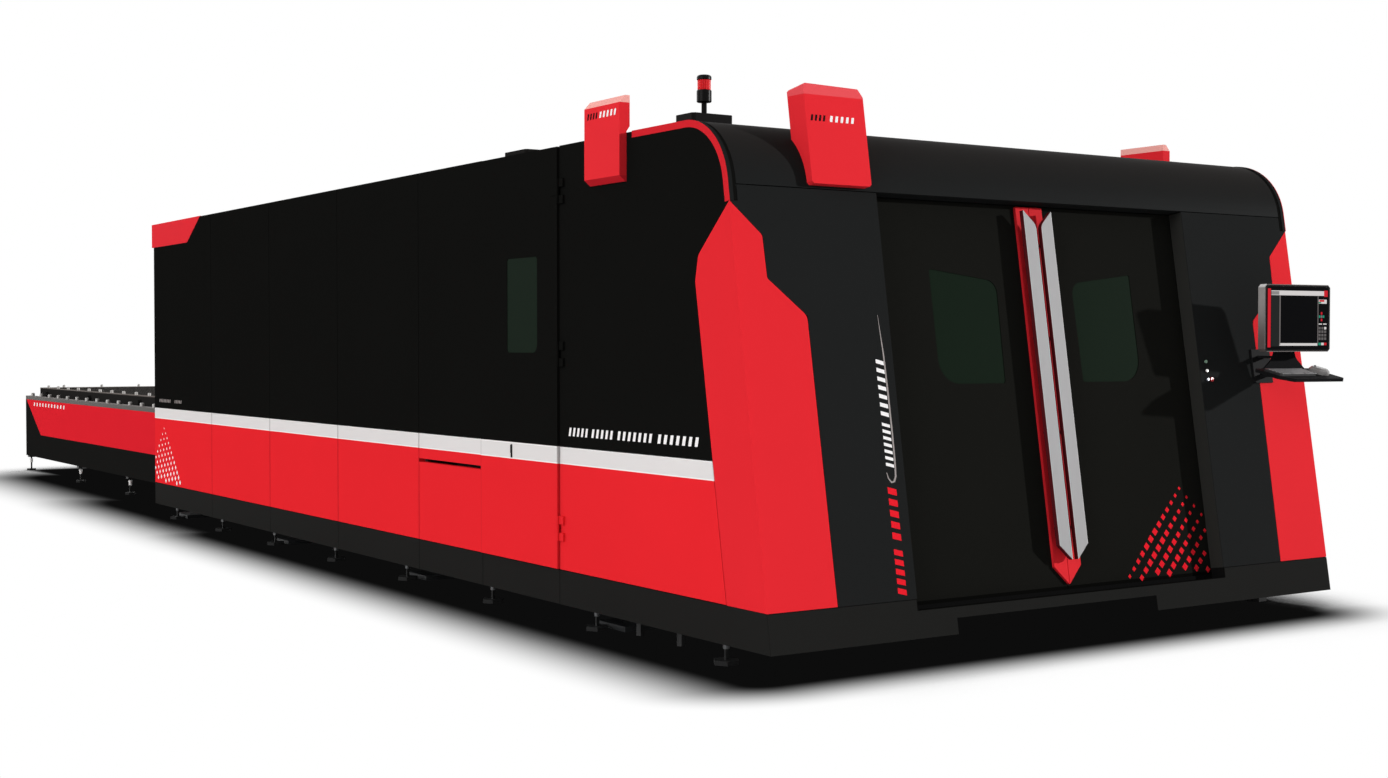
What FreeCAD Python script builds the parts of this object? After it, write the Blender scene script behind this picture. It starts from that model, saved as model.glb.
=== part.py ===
import FreeCAD, Part

import math
import os
from FreeCAD import Vector

# Fiber laser cutting machine with an enclosed bed and a two-level exchange table.
# Millimetres. X is across the machine, Y runs from the operator doors to the table,
# Z is up from the floor. The front edge of the skirt lies at y = 0 until the whole
# machine is moved so that its box is centred over the origin.

# ---- driving sizes: pallets and levels ----
pallet_length = 5900.0
pallet_width = 2540.0
pallet_top = 905.0           # top of the upper pallet
pallet_height = 100.0
level_drop = 235.0           # from the upper pallet down to the lower one
pallet_beam = 60.0
slat_pitch = 250.0
slat_thickness = 6.0
slat_height = 70.0
slat_seat = 25.0
tooth_depth = 30.0
teeth_per_slat = 3
tie_count = 3
wheel_radius = 35.0
wheel_width = 28.0
wheels_per_side = 4
wheel_inset = 350.0          # pallet end to its first wheel
stud_pitch = 415.0
end_stud_count = 6
running_gap = 5.0            # pallet beam to running rail
carrier_height = 15.0        # running rails of the pallets

# ---- driving sizes: bed and gantry ----
front_bay = 1350.0           # operator door to the front of the bed
bed_rise = 75.0              # bed top above the upper pallet
bed_beam_width = 200.0
bed_margin = 610.0           # bed front to the pallet
rear_margin = 520.0          # pallet to the rear wall
bed_wall = 12.0
leg_size = 120.0
leg_rows = 4
leg_inset = 150.0
tie_z = (180.0, 240.0)
plate_thickness = 25.0
plate_size = 260.0
anchor_radius = 11.0
rail_width = 30.0
rail_height = 30.0
slide_gap = 1.0
gantry_depth = 260.0
gantry_clear = 200.0         # bed top to the gantry beam
gantry_height = 260.0
gantry_home = 800.0          # bed front to the middle of the gantry
beam_hole_radius = 60.0
beam_hole_count = 5
truck_length = 500.0
way_height = 20.0            # rails on the gantry beam
way_inset = 35.0
carriage_front = 64.0        # beam face to the front of the carriage plate
carriage_half = 130.0
way_offset = 70.0            # the head's own rails, each side of its middle
way_half = 12.0
head_stroke = 300.0
nozzle_clear = 95.0          # nozzle above the upper pallet with the head up

# ---- driving sizes: fume duct ----
duct_height = 280.0
duct_width = 160.0
duct_wall = 2.0
duct_lip = 60.0              # duct wall above and below its suction ports
duct_port = 400.0
duct_mouth = 50.0            # half of the square opening in the flange
flange_half = 95.0
flange_thickness = 3.0
collar_radius = 75.0
collar_bore = 68.0
collar_length = 87.0

# ---- driving sizes: cabinets in the front bay ----
cabinet_depth = 470.0
cabinet_drops = (420.0, 820.0)                 # below the roof, right and left
vent_count = 4
vent_pitch = 30.0

# ---- driving sizes: enclosure ----
roof_height = 2320.0
skirt_bottom = 100.0
skirt_top = 268.0
lower_panel_top = 867.0      # red panel with its white band
front_rake = 0.161           # run of the leaning front for each unit of height
cowl_radius = 320.0
cowl_drop = 20.86            # door head seam below the start of the cowl's curve
cowl_back = 900.0
sheet = 2.5
panel_depth = 40.0
post_size = 60.0
side_aisle = 133.0           # bed beam to the posts
seam = 4.0
side_seams = [1745.0, 2573.0, 3366.0, 4557.0, 5758.0, 6973.0]
roof_seams = [2573.0, 4557.0, 6973.0]
foot_pitch = 1086.0
foot_radius = 60.0
stem_radius = 10.0
hatch_y = (2180.0, 2420.0)   # roof hatch
notch = (-770.0, 490.0)      # raised part of the front sill
notch_top = 170.0
cover_shoulder = [(152.0, 140.0), (157.0, 321.0), (348.0, 477.0)]    # in from the side, drop from the apex
cover_flank = [(532.0, 217.0), (555.0, 327.0)]                      # y, drop from the apex
cover_foot = (361.0, 316.0)                                         # widths at the skirt, front and side
cover_radii = [0, 20, 15, 45, 0, 0]
trim_width = 28.0
trim_gap = 50.0              # red trim to the side banner behind it
trim_proud = 3.0
cap_top_length = 1173.0
cap_low_length = 858.0
cap_height = 182.0
cap_overhang = 40.0
mouth_margin = 90.0          # rear mouth beyond the pallet on each side
mouth_rise = 160.0           # rear mouth above the upper pallet
mouth_fall = 100.0           # and below the lower one
gate_thickness = 24.0
gate_gap = 12.0              # rear wall to the gate
banner_proud = 38.0
banner_set_back = 760.6      # side banner behind the top of the leaning front

# ---- driving sizes: doors ----
opening_half = 985.0
sill_height = 220.0
door_recess = 85.0
door_thickness = 40.0
door_overlap = 35.0
centre_gap = 4.0
handle_width = 72.0
handle_gap = 36.0
handle_stand = 70.0
handle_depth = 25.0
backing_width = 85.0
backing_depth = 15.0
window = [(650.0, 314.0), (243.0, 363.0), (252.0, 835.0), (650.0, 835.0)]    # x, drop from the cowl
window_radii = [8.0, 65.0, 8.0, 115.0]
pane_margin = 18.0
pane_thickness = 8.0
side_door_proud = 12.0
side_glass_y = (205.0, 525.0)                  # from the door's front edge
side_glass_drop = (525.0, 1000.0)              # below the roof
side_glass_radii = [45.0, 12.0, 12.0, 12.0]
pull_y = (337.0, 359.0)                        # from the door's rear edge
pull_drop = (11.0, 79.0)                       # below the top of the lower panels
hinge_radius = 8.0
hinge_leaf = 40.0
pin_radius = 4.0
pin_gap = 0.1
drawer_top = 705.0
drawer_slot = 18.0
bin_low = 275.0
bin_clear = 20.0             # bin to the bed beam above it
bin_length = 1350.0
bin_wall = 3.0

# ---- driving sizes: exchange table ----
table_gap = 20.0             # rear wall to the table
table_run_out = 116.0        # table longer than the pallet
table_plate_bottom = 165.0
table_edge_drop = 87.0       # below the top of the upper pallet
table_stud_pitch = 373.0
table_wall = 10.0
table_rows = 4
red_panel_low = 410.0

# ---- driving sizes: push buttons and console ----
button_cap = 8.0
button_stem = 5.0
button_heights = (1275.0, 1230.0, 1186.0)
console_inset = 328.0        # swivel pin to the side of the housing
console_y = 95.0             # swivel pin, in front of the skirt line
console_low = 1210.0
console_pin = 9.0
console_turn = -8.0          # degrees about Z
neck_y = (-62.0, -50.0)      # from here on, Y is measured from the swivel pin
tilt_y = -56.0
tilt_z = 1430.0
tilt_bar = 8.0
tray_y = -74.0
tray_z = 1220.0
tray_plate = 16.0
monitor_width = 430.0
monitor_height = 335.0
monitor_depth = 65.0
monitor_bottom = 1325.0
tray_width = 380.0
tray_depth = 210.0
tray_tilt = 12.0

# ---- making ----
smallest_arc = 40.0          # corners with a smaller radius are made of two flats
smallest_round = 15.0        # and below this of one
wheel_sides = 8

# ---- worked out from the sizes above ----
pallet_half = pallet_width / 2
rail_reach = 70.0
beam_in = pallet_half + running_gap + rail_reach
beam_out = beam_in + bed_beam_width
post_in = beam_out + side_aisle
post_out = post_in + post_size
half = post_out + panel_depth
pallet_in = front_bay + bed_margin
housing_length = pallet_in + pallet_length + rear_margin
bed_back = housing_length - 90.0
table_front = housing_length + table_gap
pallet_out = table_front + 60.0
pallet_travel = pallet_out - pallet_in
table_back = table_front + pallet_length + table_run_out
rake_angle = math.atan(front_rake)
rail_top = pallet_top - pallet_height - running_gap
lower_rail_top = rail_top - level_drop
bed_top = pallet_top + bed_rise
bed_beam_bottom = lower_rail_top - carrier_height - 10.0
gantry_bottom = bed_top + gantry_clear
mouth_high = pallet_top + mouth_rise
mouth_low = pallet_top - level_drop - pallet_height - mouth_fall
table_edge_top = pallet_top - table_edge_drop
bin_high = bed_beam_bottom - bin_clear
duct_high = bed_beam_bottom - 10.0
duct_low = duct_high - duct_height
duct_z = (duct_low + duct_high) / 2
gantry_y = front_bay + gantry_home
rail_x = (beam_in + beam_out) / 2
tangent = cowl_radius * math.tan((math.pi / 2 - rake_angle) / 2)
arc_y = front_rake * (roof_height - skirt_bottom) + tangent
arc_z = roof_height - cowl_radius
banner_front = front_rake * (roof_height - skirt_bottom) + banner_set_back
trim_back = banner_front - trim_gap
cowl_seam = arc_z + cowl_radius * math.sin(rake_angle) - cowl_drop
apex_z = cowl_seam - 73.0
cover_front = [(a, apex_z - drop) for a, drop in cover_shoulder] + [(cover_foot[0], skirt_top)]
cover_side = [(a, apex_z - drop) for a, drop in cover_flank] + [(cover_foot[1], skirt_top)]
duct_x = rail_x + leg_size / 2 + duct_width / 2
console_x = half - console_inset

parts = {}


# ---- shape helpers ----
def block(x, y, z):
    """A box from three (low, high) pairs."""
    corner = Vector(min(x), min(y), min(z))
    return Part.makeBox(abs(x[1] - x[0]), abs(y[1] - y[0]), abs(z[1] - z[0]), corner)


def round_rod(start, direction, radius, length):
    return Part.makeCylinder(radius, length, Vector(*start), Vector(*direction))


def ring_points(centre, along, radius, sides):
    """Corners of a regular polygon round a line along one of the axes."""
    first = Vector(along.y, along.z, along.x)
    second = along.cross(first)
    angles = [2 * math.pi * (i + 0.5) / sides for i in range(sides)]
    return [centre + first * (radius * math.cos(a)) + second * (radius * math.sin(a)) for a in angles]


def rod(start, direction, radius, length, sides=12):
    """A bar with flat sides, its corners on the given radius."""
    along = Vector(*direction)
    corners = ring_points(Vector(*start), along, radius, sides)
    return Part.Face(Part.makePolygon(corners + corners[:1])).extrude(along * length)


def clear_of(pin, sides=12):
    """Corner radius of a flat-sided bore in which a pin turns freely."""
    return (pin + pin_gap) / math.cos(math.pi / sides)


def in_xz(y):
    return lambda a, b: Vector(a, y, b)


def in_yz(x):
    return lambda a, b: Vector(x, a, b)


def in_xy(z):
    return lambda a, b: Vector(a, b, z)


def rounded_face(points, at, radii=None):
    """A flat face through the points. Each corner has its own radius; small ones are flats."""
    count = len(points)
    radii = radii or [0.0] * count
    starts, ends, middles = [], [], []
    for i in range(count):
        here = Vector(points[i][0], points[i][1], 0)
        back = Vector(points[i - 1][0], points[i - 1][1], 0) - here
        ahead = Vector(points[(i + 1) % count][0], points[(i + 1) % count][1], 0) - here
        if radii[i] <= 0:
            starts.append(here)
            ends.append(here)
            middles.append(None)
            continue
        corner = back.getAngle(ahead)
        reach = min(radii[i] / math.tan(corner / 2), 0.45 * min(back.Length, ahead.Length))
        radius = reach * math.tan(corner / 2)
        bisector = (back.normalize() + ahead.normalize()).normalize()
        starts.append(here + back * reach)
        ends.append(here + ahead * reach)
        middles.append(here + bisector * (radius / math.sin(corner / 2) - radius))
    edges = []
    for i in range(count):
        if middles[i] is not None:
            arc = [at(p.x, p.y) for p in (starts[i], middles[i], ends[i])]
            if radii[i] >= smallest_arc:
                edges.append(Part.Arc(*arc).toShape())
            else:
                bend = arc if radii[i] >= smallest_round else [arc[0], arc[2]]
                edges += [Part.LineSegment(a, b).toShape() for a, b in zip(bend, bend[1:])]
        following = starts[(i + 1) % count]
        if (following - ends[i]).Length > 1e-6:
            edges.append(Part.LineSegment(at(ends[i].x, ends[i].y), at(following.x, following.y)).toShape())
    return Part.Face(Part.Wire(edges))


def prism(points, at, direction, radii=None):
    return rounded_face(points, at, radii).extrude(Vector(*direction))


def turning(profile, centre, sides=12):
    """Round work about a vertical line, with flat sides: a stack of tapers from (radius, height) pairs."""
    up, base = Vector(0, 0, 1), Vector(*centre)
    rings = [ring_points(base + up * height, up, radius, sides) for radius, height in profile]
    outlines = [rings[0][::-1], rings[-1]]
    for low, high in zip(rings, rings[1:]):
        for i in range(sides):
            j = (i + 1) % sides
            outlines.append([low[i], low[j], high[j], high[i]])
    return Part.Solid(Part.Shell([Part.Face(Part.makePolygon(o + o[:1])) for o in outlines]))


def rectangle(a, b):
    return [(a[0], b[0]), (a[1], b[0]), (a[1], b[1]), (a[0], b[1])]


def folded(face, inward, depth=panel_depth, wall=sheet):
    """A sheet panel with its edges folded back all round, open at the back."""
    direction = Vector(*inward)
    inner = face.makeOffset2D(-wall, 2)
    hollow = inner.extrude(direction * depth)
    hollow.translate(direction * wall)
    return face.extrude(direction * depth).cut(hollow)


def square_tube(x, y, z, wall=4.0):
    """A straight tube, open at both ends of its longest side."""
    spans = [x, y, z]
    lengths = [s[1] - s[0] for s in spans]
    along = lengths.index(max(lengths))
    inner = [s if i == along else (s[0] + wall, s[1] - wall) for i, s in enumerate(spans)]
    return block(*spans).cut(block(*inner))


def mirrored(shape):
    return shape.mirror(Vector(0, 0, 0), Vector(1, 0, 0))


def both_sides(shapes):
    return shapes + [mirrored(s) for s in shapes]


def fused(shapes):
    return shapes[0].fuse(shapes[1:]).removeSplitter()


def group(shapes):
    return Part.Compound(shapes)


def keep(name, shape):
    parts[name] = shape


# ---- the leaning front: built upright with depth from the front face, then leaned back ----
def slope(z):
    return skirt_bottom + (z - skirt_bottom) / math.cos(rake_angle)


def lean(shape):
    leaned = shape.copy()
    leaned.rotate(Vector(0, 0, skirt_bottom), Vector(1, 0, 0), -math.degrees(rake_angle))
    return leaned


def face_y(z):
    return front_rake * (z - skirt_bottom)


def on_arc(angle, radius):
    return (arc_y - radius * math.cos(angle), arc_z + radius * math.sin(angle))


def front_run(low_z, back_y, offset):
    """Line, arc and line from the leaning front over to the roof, moved out by offset."""
    low = (face_y(low_z) - offset * math.cos(rake_angle), low_z + offset * math.sin(rake_angle))
    first = on_arc(rake_angle, cowl_radius + offset)
    middle = on_arc((rake_angle + math.pi / 2) / 2, cowl_radius + offset)
    last = on_arc(math.pi / 2, cowl_radius + offset)
    return low, first, middle, last, (back_y, roof_height + offset)


def run_edges(run, x):
    low, first, middle, last, back = [Vector(x, p[0], p[1]) for p in run]
    return [
        Part.LineSegment(low, first).toShape(),
        Part.Arc(first, middle, last).toShape(),
        Part.LineSegment(last, back).toShape(),
    ]


def band(low_z, back_y, outer, inner, x):
    """The strip between two offsets of the front run, as thick as x is wide."""
    first, second = front_run(low_z, back_y, outer), front_run(low_z, back_y, inner)
    edges = run_edges(first, x[0]) + run_edges(second, x[0])
    for a, b in ((first[0], second[0]), (first[4], second[4])):
        edges.append(Part.LineSegment(Vector(x[0], *a), Vector(x[0], *b)).toShape())
    face = Part.Face(Part.Wire(Part.__sortEdges__(edges)))
    return face.extrude(Vector(x[1] - x[0], 0, 0))


def front_volume(low_z, back_y, x):
    """Everything behind the front run, as thick as x is wide."""
    run = front_run(low_z, back_y, 0.0)
    edges = run_edges(run, x[0])
    corner = Vector(x[0], back_y, low_z)
    edges.append(Part.LineSegment(Vector(x[0], *run[4]), corner).toShape())
    edges.append(Part.LineSegment(corner, Vector(x[0], *run[0])).toShape())
    return Part.Face(Part.Wire(Part.__sortEdges__(edges))).extrude(Vector(x[1] - x[0], 0, 0))


# ---- red corner cover: one sheet folded round the leaning corner ----
def cover_edge_y(z):
    """Where the rear edge of the cover crosses a height below its shoulder."""
    (y1, z1), (y2, z2) = cover_side[1], cover_side[2]
    return y2 + (z - z2) * (y1 - y2) / (z1 - z2)


def corner_cover():
    front = [(half, slope(apex_z))] + [(half - a, slope(z)) for a, z in cover_front]
    front.append((half, slope(skirt_top)))
    front_plate = lean(prism(front, in_xz(0), (0, sheet, 0), cover_radii))
    side = [(face_y(apex_z), apex_z)] + cover_side + [(face_y(skirt_top), skirt_top)]
    side_plate = prism(side, in_yz(half), (-sheet, 0, 0), [0, 45, 45, 0, 0])
    return fused([front_plate, side_plate])


# ---- side walls ----
def side_spans():
    ends = side_seams + [housing_length]
    return list(zip(side_seams, ends[1:]))


def front_upper_panel():
    """The side panel in front of the door, with the curve of the cowl as its edge."""
    low, first, middle, last, back = front_run(apex_z + seam, side_seams[0] - seam / 2, 0.0)
    z = lower_panel_top + seam / 2
    points = [(cover_edge_y(z) + seam, z), (side_seams[0] - seam / 2, z)]
    edges = run_edges((low, first, middle, last, back), half)
    shoulder = [(cover_side[1][0] + seam, cover_side[1][1]), (cover_side[0][0] + seam, cover_side[0][1])]
    chain = [back, points[1], points[0]] + shoulder + [low]
    for a, b in zip(chain, chain[1:]):
        edges.append(Part.LineSegment(Vector(half, *a), Vector(half, *b)).toShape())
    return Part.Face(Part.Wire(Part.__sortEdges__(edges)))


def side_panel(y, z):
    face = rounded_face(rectangle((y[0] + seam / 2, y[1] - seam / 2), (z[0] + seam / 2, z[1] - seam / 2)),
                        in_yz(half))
    return folded(face, (-1, 0, 0))


def side_walls():
    drawer = (side_seams[1], side_seams[2])
    upper = [folded(front_upper_panel(), (-1, 0, 0))]
    upper += [side_panel(y, (lower_panel_top, roof_height + seam / 2)) for y in side_spans()]
    left_upper = [upper[0]] + upper[2:]
    keep("upper_side_panels", group(upper + [mirrored(s) for s in left_upper]))

    z = (skirt_top + seam / 2, lower_panel_top - seam / 2)
    first = [(cover_edge_y(z[0]) + seam, z[0]), (side_seams[0] - seam / 2, z[0]),
             (side_seams[0] - seam / 2, z[1]), (cover_edge_y(z[1]) + seam, z[1])]
    front_lower = folded(rounded_face(first, in_yz(half)), (-1, 0, 0))
    lower = [side_panel(y, (skirt_top, lower_panel_top)) for y in side_spans()]
    above_drawer = side_panel(drawer, (drawer_top + drawer_slot, lower_panel_top))
    left_lower = [front_lower, above_drawer] + lower[2:]
    keep("lower_side_panels", group([front_lower] + lower + [mirrored(s) for s in left_lower]))


def skirts():
    """Kick panels round the foot of the housing, and the sill under the doors."""
    low, high = skirt_bottom, skirt_top - seam / 2
    first = [(face_y(low) + seam, low), (side_seams[0] - seam / 2, low),
             (side_seams[0] - seam / 2, high), (face_y(high) + seam, high)]
    sides = [folded(rounded_face(first, in_yz(half)), (-1, 0, 0))]
    sides += [side_panel(y, (skirt_bottom - seam / 2, skirt_top)) for y in side_spans()]
    sill = [
        (-half, slope(skirt_bottom)), (notch[0], slope(skirt_bottom)), (notch[0], slope(notch_top)),
        (notch[1], slope(notch_top)), (notch[1], slope(skirt_bottom)), (half, slope(skirt_bottom)),
        (half, slope(skirt_top - seam)), (opening_half, slope(skirt_top - seam)),
        (opening_half, slope(sill_height)), (-opening_half, slope(sill_height)),
        (-opening_half, slope(skirt_top - seam)), (-half, slope(skirt_top - seam)),
    ]
    front = prism(sill, in_xz(0), (0, sheet, 0))
    lip_z = (slope(sill_height) - sheet, slope(sill_height))
    lip = block((-opening_half, opening_half), (0, door_recess - 5), lip_z)
    keep("skirt_panels", group(both_sides(sides) + [lean(fused([front, lip]))]))


def front_panels():
    """Black panels each side of the doors, folded in at the opening."""
    gap = 3.0
    edge = [(half - a - gap, slope(z)) for a, z in cover_front]
    top = slope(cowl_seam) - seam
    points = [(opening_half, slope(skirt_top)), edge[3], edge[2], edge[1], edge[0],
              (half - gap, slope(apex_z)),
              (half - panel_depth - gap, slope(apex_z)), (half - panel_depth - gap, top),
              (opening_half, top)]
    plate = prism(points, in_xz(0), (0, sheet, 0))
    reveal = block((opening_half, opening_half + sheet), (0, door_recess - 5), (slope(skirt_top), top))
    panel = fused([plate, reveal])
    left = mirrored(panel)
    for x, z in button_places():
        panel = panel.cut(rod((x, -1, slope(z)), (0, 1, 0), button_stem + 1.5, sheet + 2))
    keep("front_panels", group([lean(left), lean(panel)]))


def cowl():
    """Curved front cowl with a fold at the door head and at the roof."""
    width = (-(half - panel_depth - 2), half - panel_depth - 2)
    skin = band(cowl_seam, cowl_back, 0.0, -sheet, width)
    head_z = (slope(cowl_seam), slope(cowl_seam) + sheet)
    head = block((-opening_half, opening_half), (0, door_recess - 5), head_z)
    tail = block(width, (cowl_back - sheet, cowl_back), (roof_height - panel_depth, roof_height))
    keep("front_cowl", fused([skin, lean(head), tail]))


def corner_pieces():
    keep("corner_covers", group(both_sides([corner_cover()])))
    side = band(apex_z, trim_back, trim_proud, -trim_width, (half, half + trim_proud))
    over = band(apex_z, trim_back, trim_proud, 0.0, (half - 22, half + trim_proud))
    high, low = roof_height + trim_proud, roof_height + trim_proud - cap_height
    back_y = housing_length + cap_overhang
    cap = [(housing_length - cap_top_length, high), (housing_length - cap_low_length, low),
           (back_y, low), (back_y, high)]
    rear = prism(cap, in_yz(half), (sheet, 0, 0), [0, 60, 0, 0])
    top = block((half - 30, half + sheet), (cap[0][0], back_y), (roof_height, high))
    back = block((half - 120, half + sheet), (back_y - 3, back_y), (low, high))
    keep("red_trims", group(both_sides([fused([side, over]), fused([rear, top, back])])))


def roof():
    width = (-(half - panel_depth - 2), half - panel_depth - 2)
    stations = [cowl_back] + roof_seams + [housing_length]
    panels = []
    for y0, y1 in zip(stations, stations[1:]):
        face = rounded_face(rectangle(width, (y0 + seam / 2, y1 - seam / 2)), in_xy(roof_height))
        panels.append(folded(face, (0, 0, -1)))
    hatch_x = (-half + 50, -half + 350)
    hatch = prism(rectangle(hatch_x, hatch_y), in_xy(roof_height), (0, 0, 30), [15] * 4)
    keep("roof_panels", group(panels + [hatch]))


def rear_wall():
    side = pallet_half + mouth_margin
    inner = half - panel_depth - 2
    y, top = housing_length, roof_height - panel_depth - 2
    way = duct_mouth + duct_wall + seam
    spans = [((-inner, -side), (skirt_bottom, top)), ((side, inner), (skirt_bottom, duct_z - way)),
             ((side, inner), (duct_z + way, top)), ((-side + seam, side - seam), (mouth_high, top)),
             ((-side + seam, side - seam), (skirt_bottom, mouth_low))]
    panels = [folded(rounded_face(rectangle(x, z), in_xz(y)), (0, -1, 0)) for x, z in spans]
    beside = [block(x, (y - sheet, y), (duct_z - way, duct_z + way))
              for x in ((side, duct_x - way), (duct_x + way, inner))]
    keep("rear_wall", group(panels + beside))


def rear_gate():
    """Lifting gate behind the rear wall and the two channels that guide it."""
    y = housing_length - panel_depth - gate_gap - gate_thickness
    reach = pallet_half + mouth_margin + 24
    lift = mouth_high - mouth_low - 6
    low = mouth_high + 6
    leaf = rounded_face(rectangle((-reach, reach), (low, low + lift + 40)), in_xz(y + gate_thickness))
    rib_y = (y + 4, y + gate_thickness - sheet)
    heights = [low + share * lift for share in (0.35, 0.7)]
    ribs = [block((-reach + 20, reach - 20), rib_y, (z, z + 20)) for z in heights]
    keep("rear_gate", fused([folded(leaf, (0, -1, 0), gate_thickness)] + ribs))
    outer = block((reach - 22, reach + 14), (y - 8, y + gate_thickness + 8), (mouth_low, roof_height - 110))
    slot = block((reach - 23, reach + 4), (y - 4, y + gate_thickness + 4),
                 (mouth_low - 1, roof_height - 109))
    return both_sides([outer.cut(slot)])


# ---- housing frame and feet ----
def housing_frame(guides):
    """Welded tube frame that carries the panels, with the channels of the rear gate."""
    tubes = []
    low_y = face_y(skirt_bottom + post_size) + 75
    high_y = arc_y - 0.3 * cowl_radius
    posts = side_seams + [housing_length - panel_depth - post_size / 2]
    base = (skirt_bottom, skirt_bottom + post_size)
    top = (roof_height - panel_depth - post_size, roof_height - panel_depth)
    tubes.append(square_tube((post_in, post_out), (low_y, posts[-1] + post_size / 2), base))
    tubes.append(square_tube((post_in, post_out), (high_y, posts[-1] + post_size / 2), top))
    for y in [high_y + post_size / 2] + posts:
        span = (y - post_size / 2, y + post_size / 2)
        tubes.append(square_tube((post_in, post_out), span, (base[1], top[0])))
    depth = (12.0, 12.0 + post_size)
    height = (slope(skirt_bottom) + 14, slope(cowl_seam) + 84)
    tubes.append(lean(square_tube((post_in, post_out), depth, height)))
    for z in (cowl_seam, 0.55 * cowl_seam, 0.25 * cowl_seam):
        behind = face_y(z) + depth[1] / math.cos(rake_angle)
        gusset = [(behind, z), (high_y, z), (high_y, z + 50), (behind + front_rake * 50, z + 50)]
        tubes.append(prism(gusset, in_yz(post_in + 20), (12, 0, 0)))
    for z in (0.25 * cowl_seam, 0.55 * cowl_seam, 0.8 * cowl_seam, 0.95 * cowl_seam):
        packer = (slope(z) - 20, slope(z) + 20)
        tubes.append(lean(block((post_in + 10, post_out - 10), (sheet, depth[0]), packer)))
    sill = (slope(notch_top) + 2, slope(sill_height) - 22)
    jamb = (opening_half + 90, opening_half + 140)
    tubes.append(lean(square_tube(jamb, (sheet, sheet + 50), (sill[1], slope(cowl_seam) - 10))))
    sides = both_sides(tubes)
    across = [square_tube((-post_in, post_in), (y - post_size / 2, y + post_size / 2), top)
              for y in posts[:-1] + [high_y + post_size / 2]]
    head = (slope(cowl_seam) + 34, slope(cowl_seam) + 84)
    across.append(lean(square_tube((-post_in, post_in), (60, 110), head)))
    rear = posts[-1]
    across.append(square_tube((-post_in, post_in), (rear - post_size / 2, rear + post_size / 2), base))
    across.append(lean(square_tube((-post_in, post_in), (sheet, door_recess + door_thickness), sill)))
    keep("housing_frame", group(sides + across + guides))
    return both_sides(feet(base[0]))


def feet(top):
    """Levelling feet under the base tubes."""
    made = []
    x = (post_in + post_out) / 2
    y = face_y(skirt_bottom) + 420.0
    while y < housing_length - 60:
        made.append(foot(x, y, foot_radius, top))
        y += foot_pitch
    return made


def foot(x, y, radius, top):
    """A pad on the floor and the stem that carries the frame."""
    pad = rod((x, y, 0), (0, 0, 1), radius, 20, 6)
    stem = rod((x, y, 19), (0, 0, 1), stem_radius, top - 19, 4)
    return fused([pad, stem])


# ---- bed ----
def leg_stations():
    first, last = front_bay + leg_inset, bed_back - leg_inset
    return [first + i * (last - first) / (leg_rows - 1) for i in range(leg_rows)]


def bed():
    rows = leg_stations()
    x_leg = (rail_x - leg_size / 2, rail_x + leg_size / 2)
    side = [square_tube((beam_in, beam_out), (front_bay, bed_back), (bed_beam_bottom, bed_top), bed_wall)]
    across, plates = [], []
    for y in rows:
        span = (y - leg_size / 2, y + leg_size / 2)
        side.append(square_tube(x_leg, span, (plate_thickness, bed_beam_bottom), 8.0))
        across.append(square_tube((-x_leg[0], x_leg[0]), (y - 30, y + 30), tie_z, 5.0))
        plate = block((x_leg[0] - 10, x_leg[0] - 10 + plate_size), (y - plate_size / 2, y + plate_size / 2),
                      (0, plate_thickness))
        hole = round_rod((anchor_x(), y, -1), (0, 0, 1), anchor_radius, plate_thickness + 2)
        plates.append(plate.cut(hole))
    for y0, y1 in zip(rows, rows[1:]):
        between = (y0 + leg_size / 2, y1 - leg_size / 2)
        side.append(square_tube((rail_x - 30, rail_x + 30), between, tie_z, 5.0))
        side.append(square_tube((370, 430), (y0 + 30, y1 - 30), tie_z, 5.0))
    keep("bed_frame", group(both_sides(side) + across + drawer_runners()))
    keep("bed_foot_plates", group(both_sides(plates)))
    x, y = (pallet_half + running_gap, beam_in), (front_bay + 60, bed_back)
    carriers = [block(x, y, (top - carrier_height, top)) for top in (rail_top, lower_rail_top)]
    keep("pallet_rails", group(both_sides(carriers)))
    guide = block((rail_x - rail_width / 2, rail_x + rail_width / 2), (front_bay + 20, bed_back - 20),
                  (bed_top, bed_top + rail_height))
    rack = block((rail_x + 52, rail_x + 76), (front_bay + 20, bed_back - 20), (bed_top, bed_top + 24))
    keep("gantry_rails", group(both_sides([guide, rack])))


def anchor_x():
    return rail_x + leg_size / 2 + 60


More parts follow.
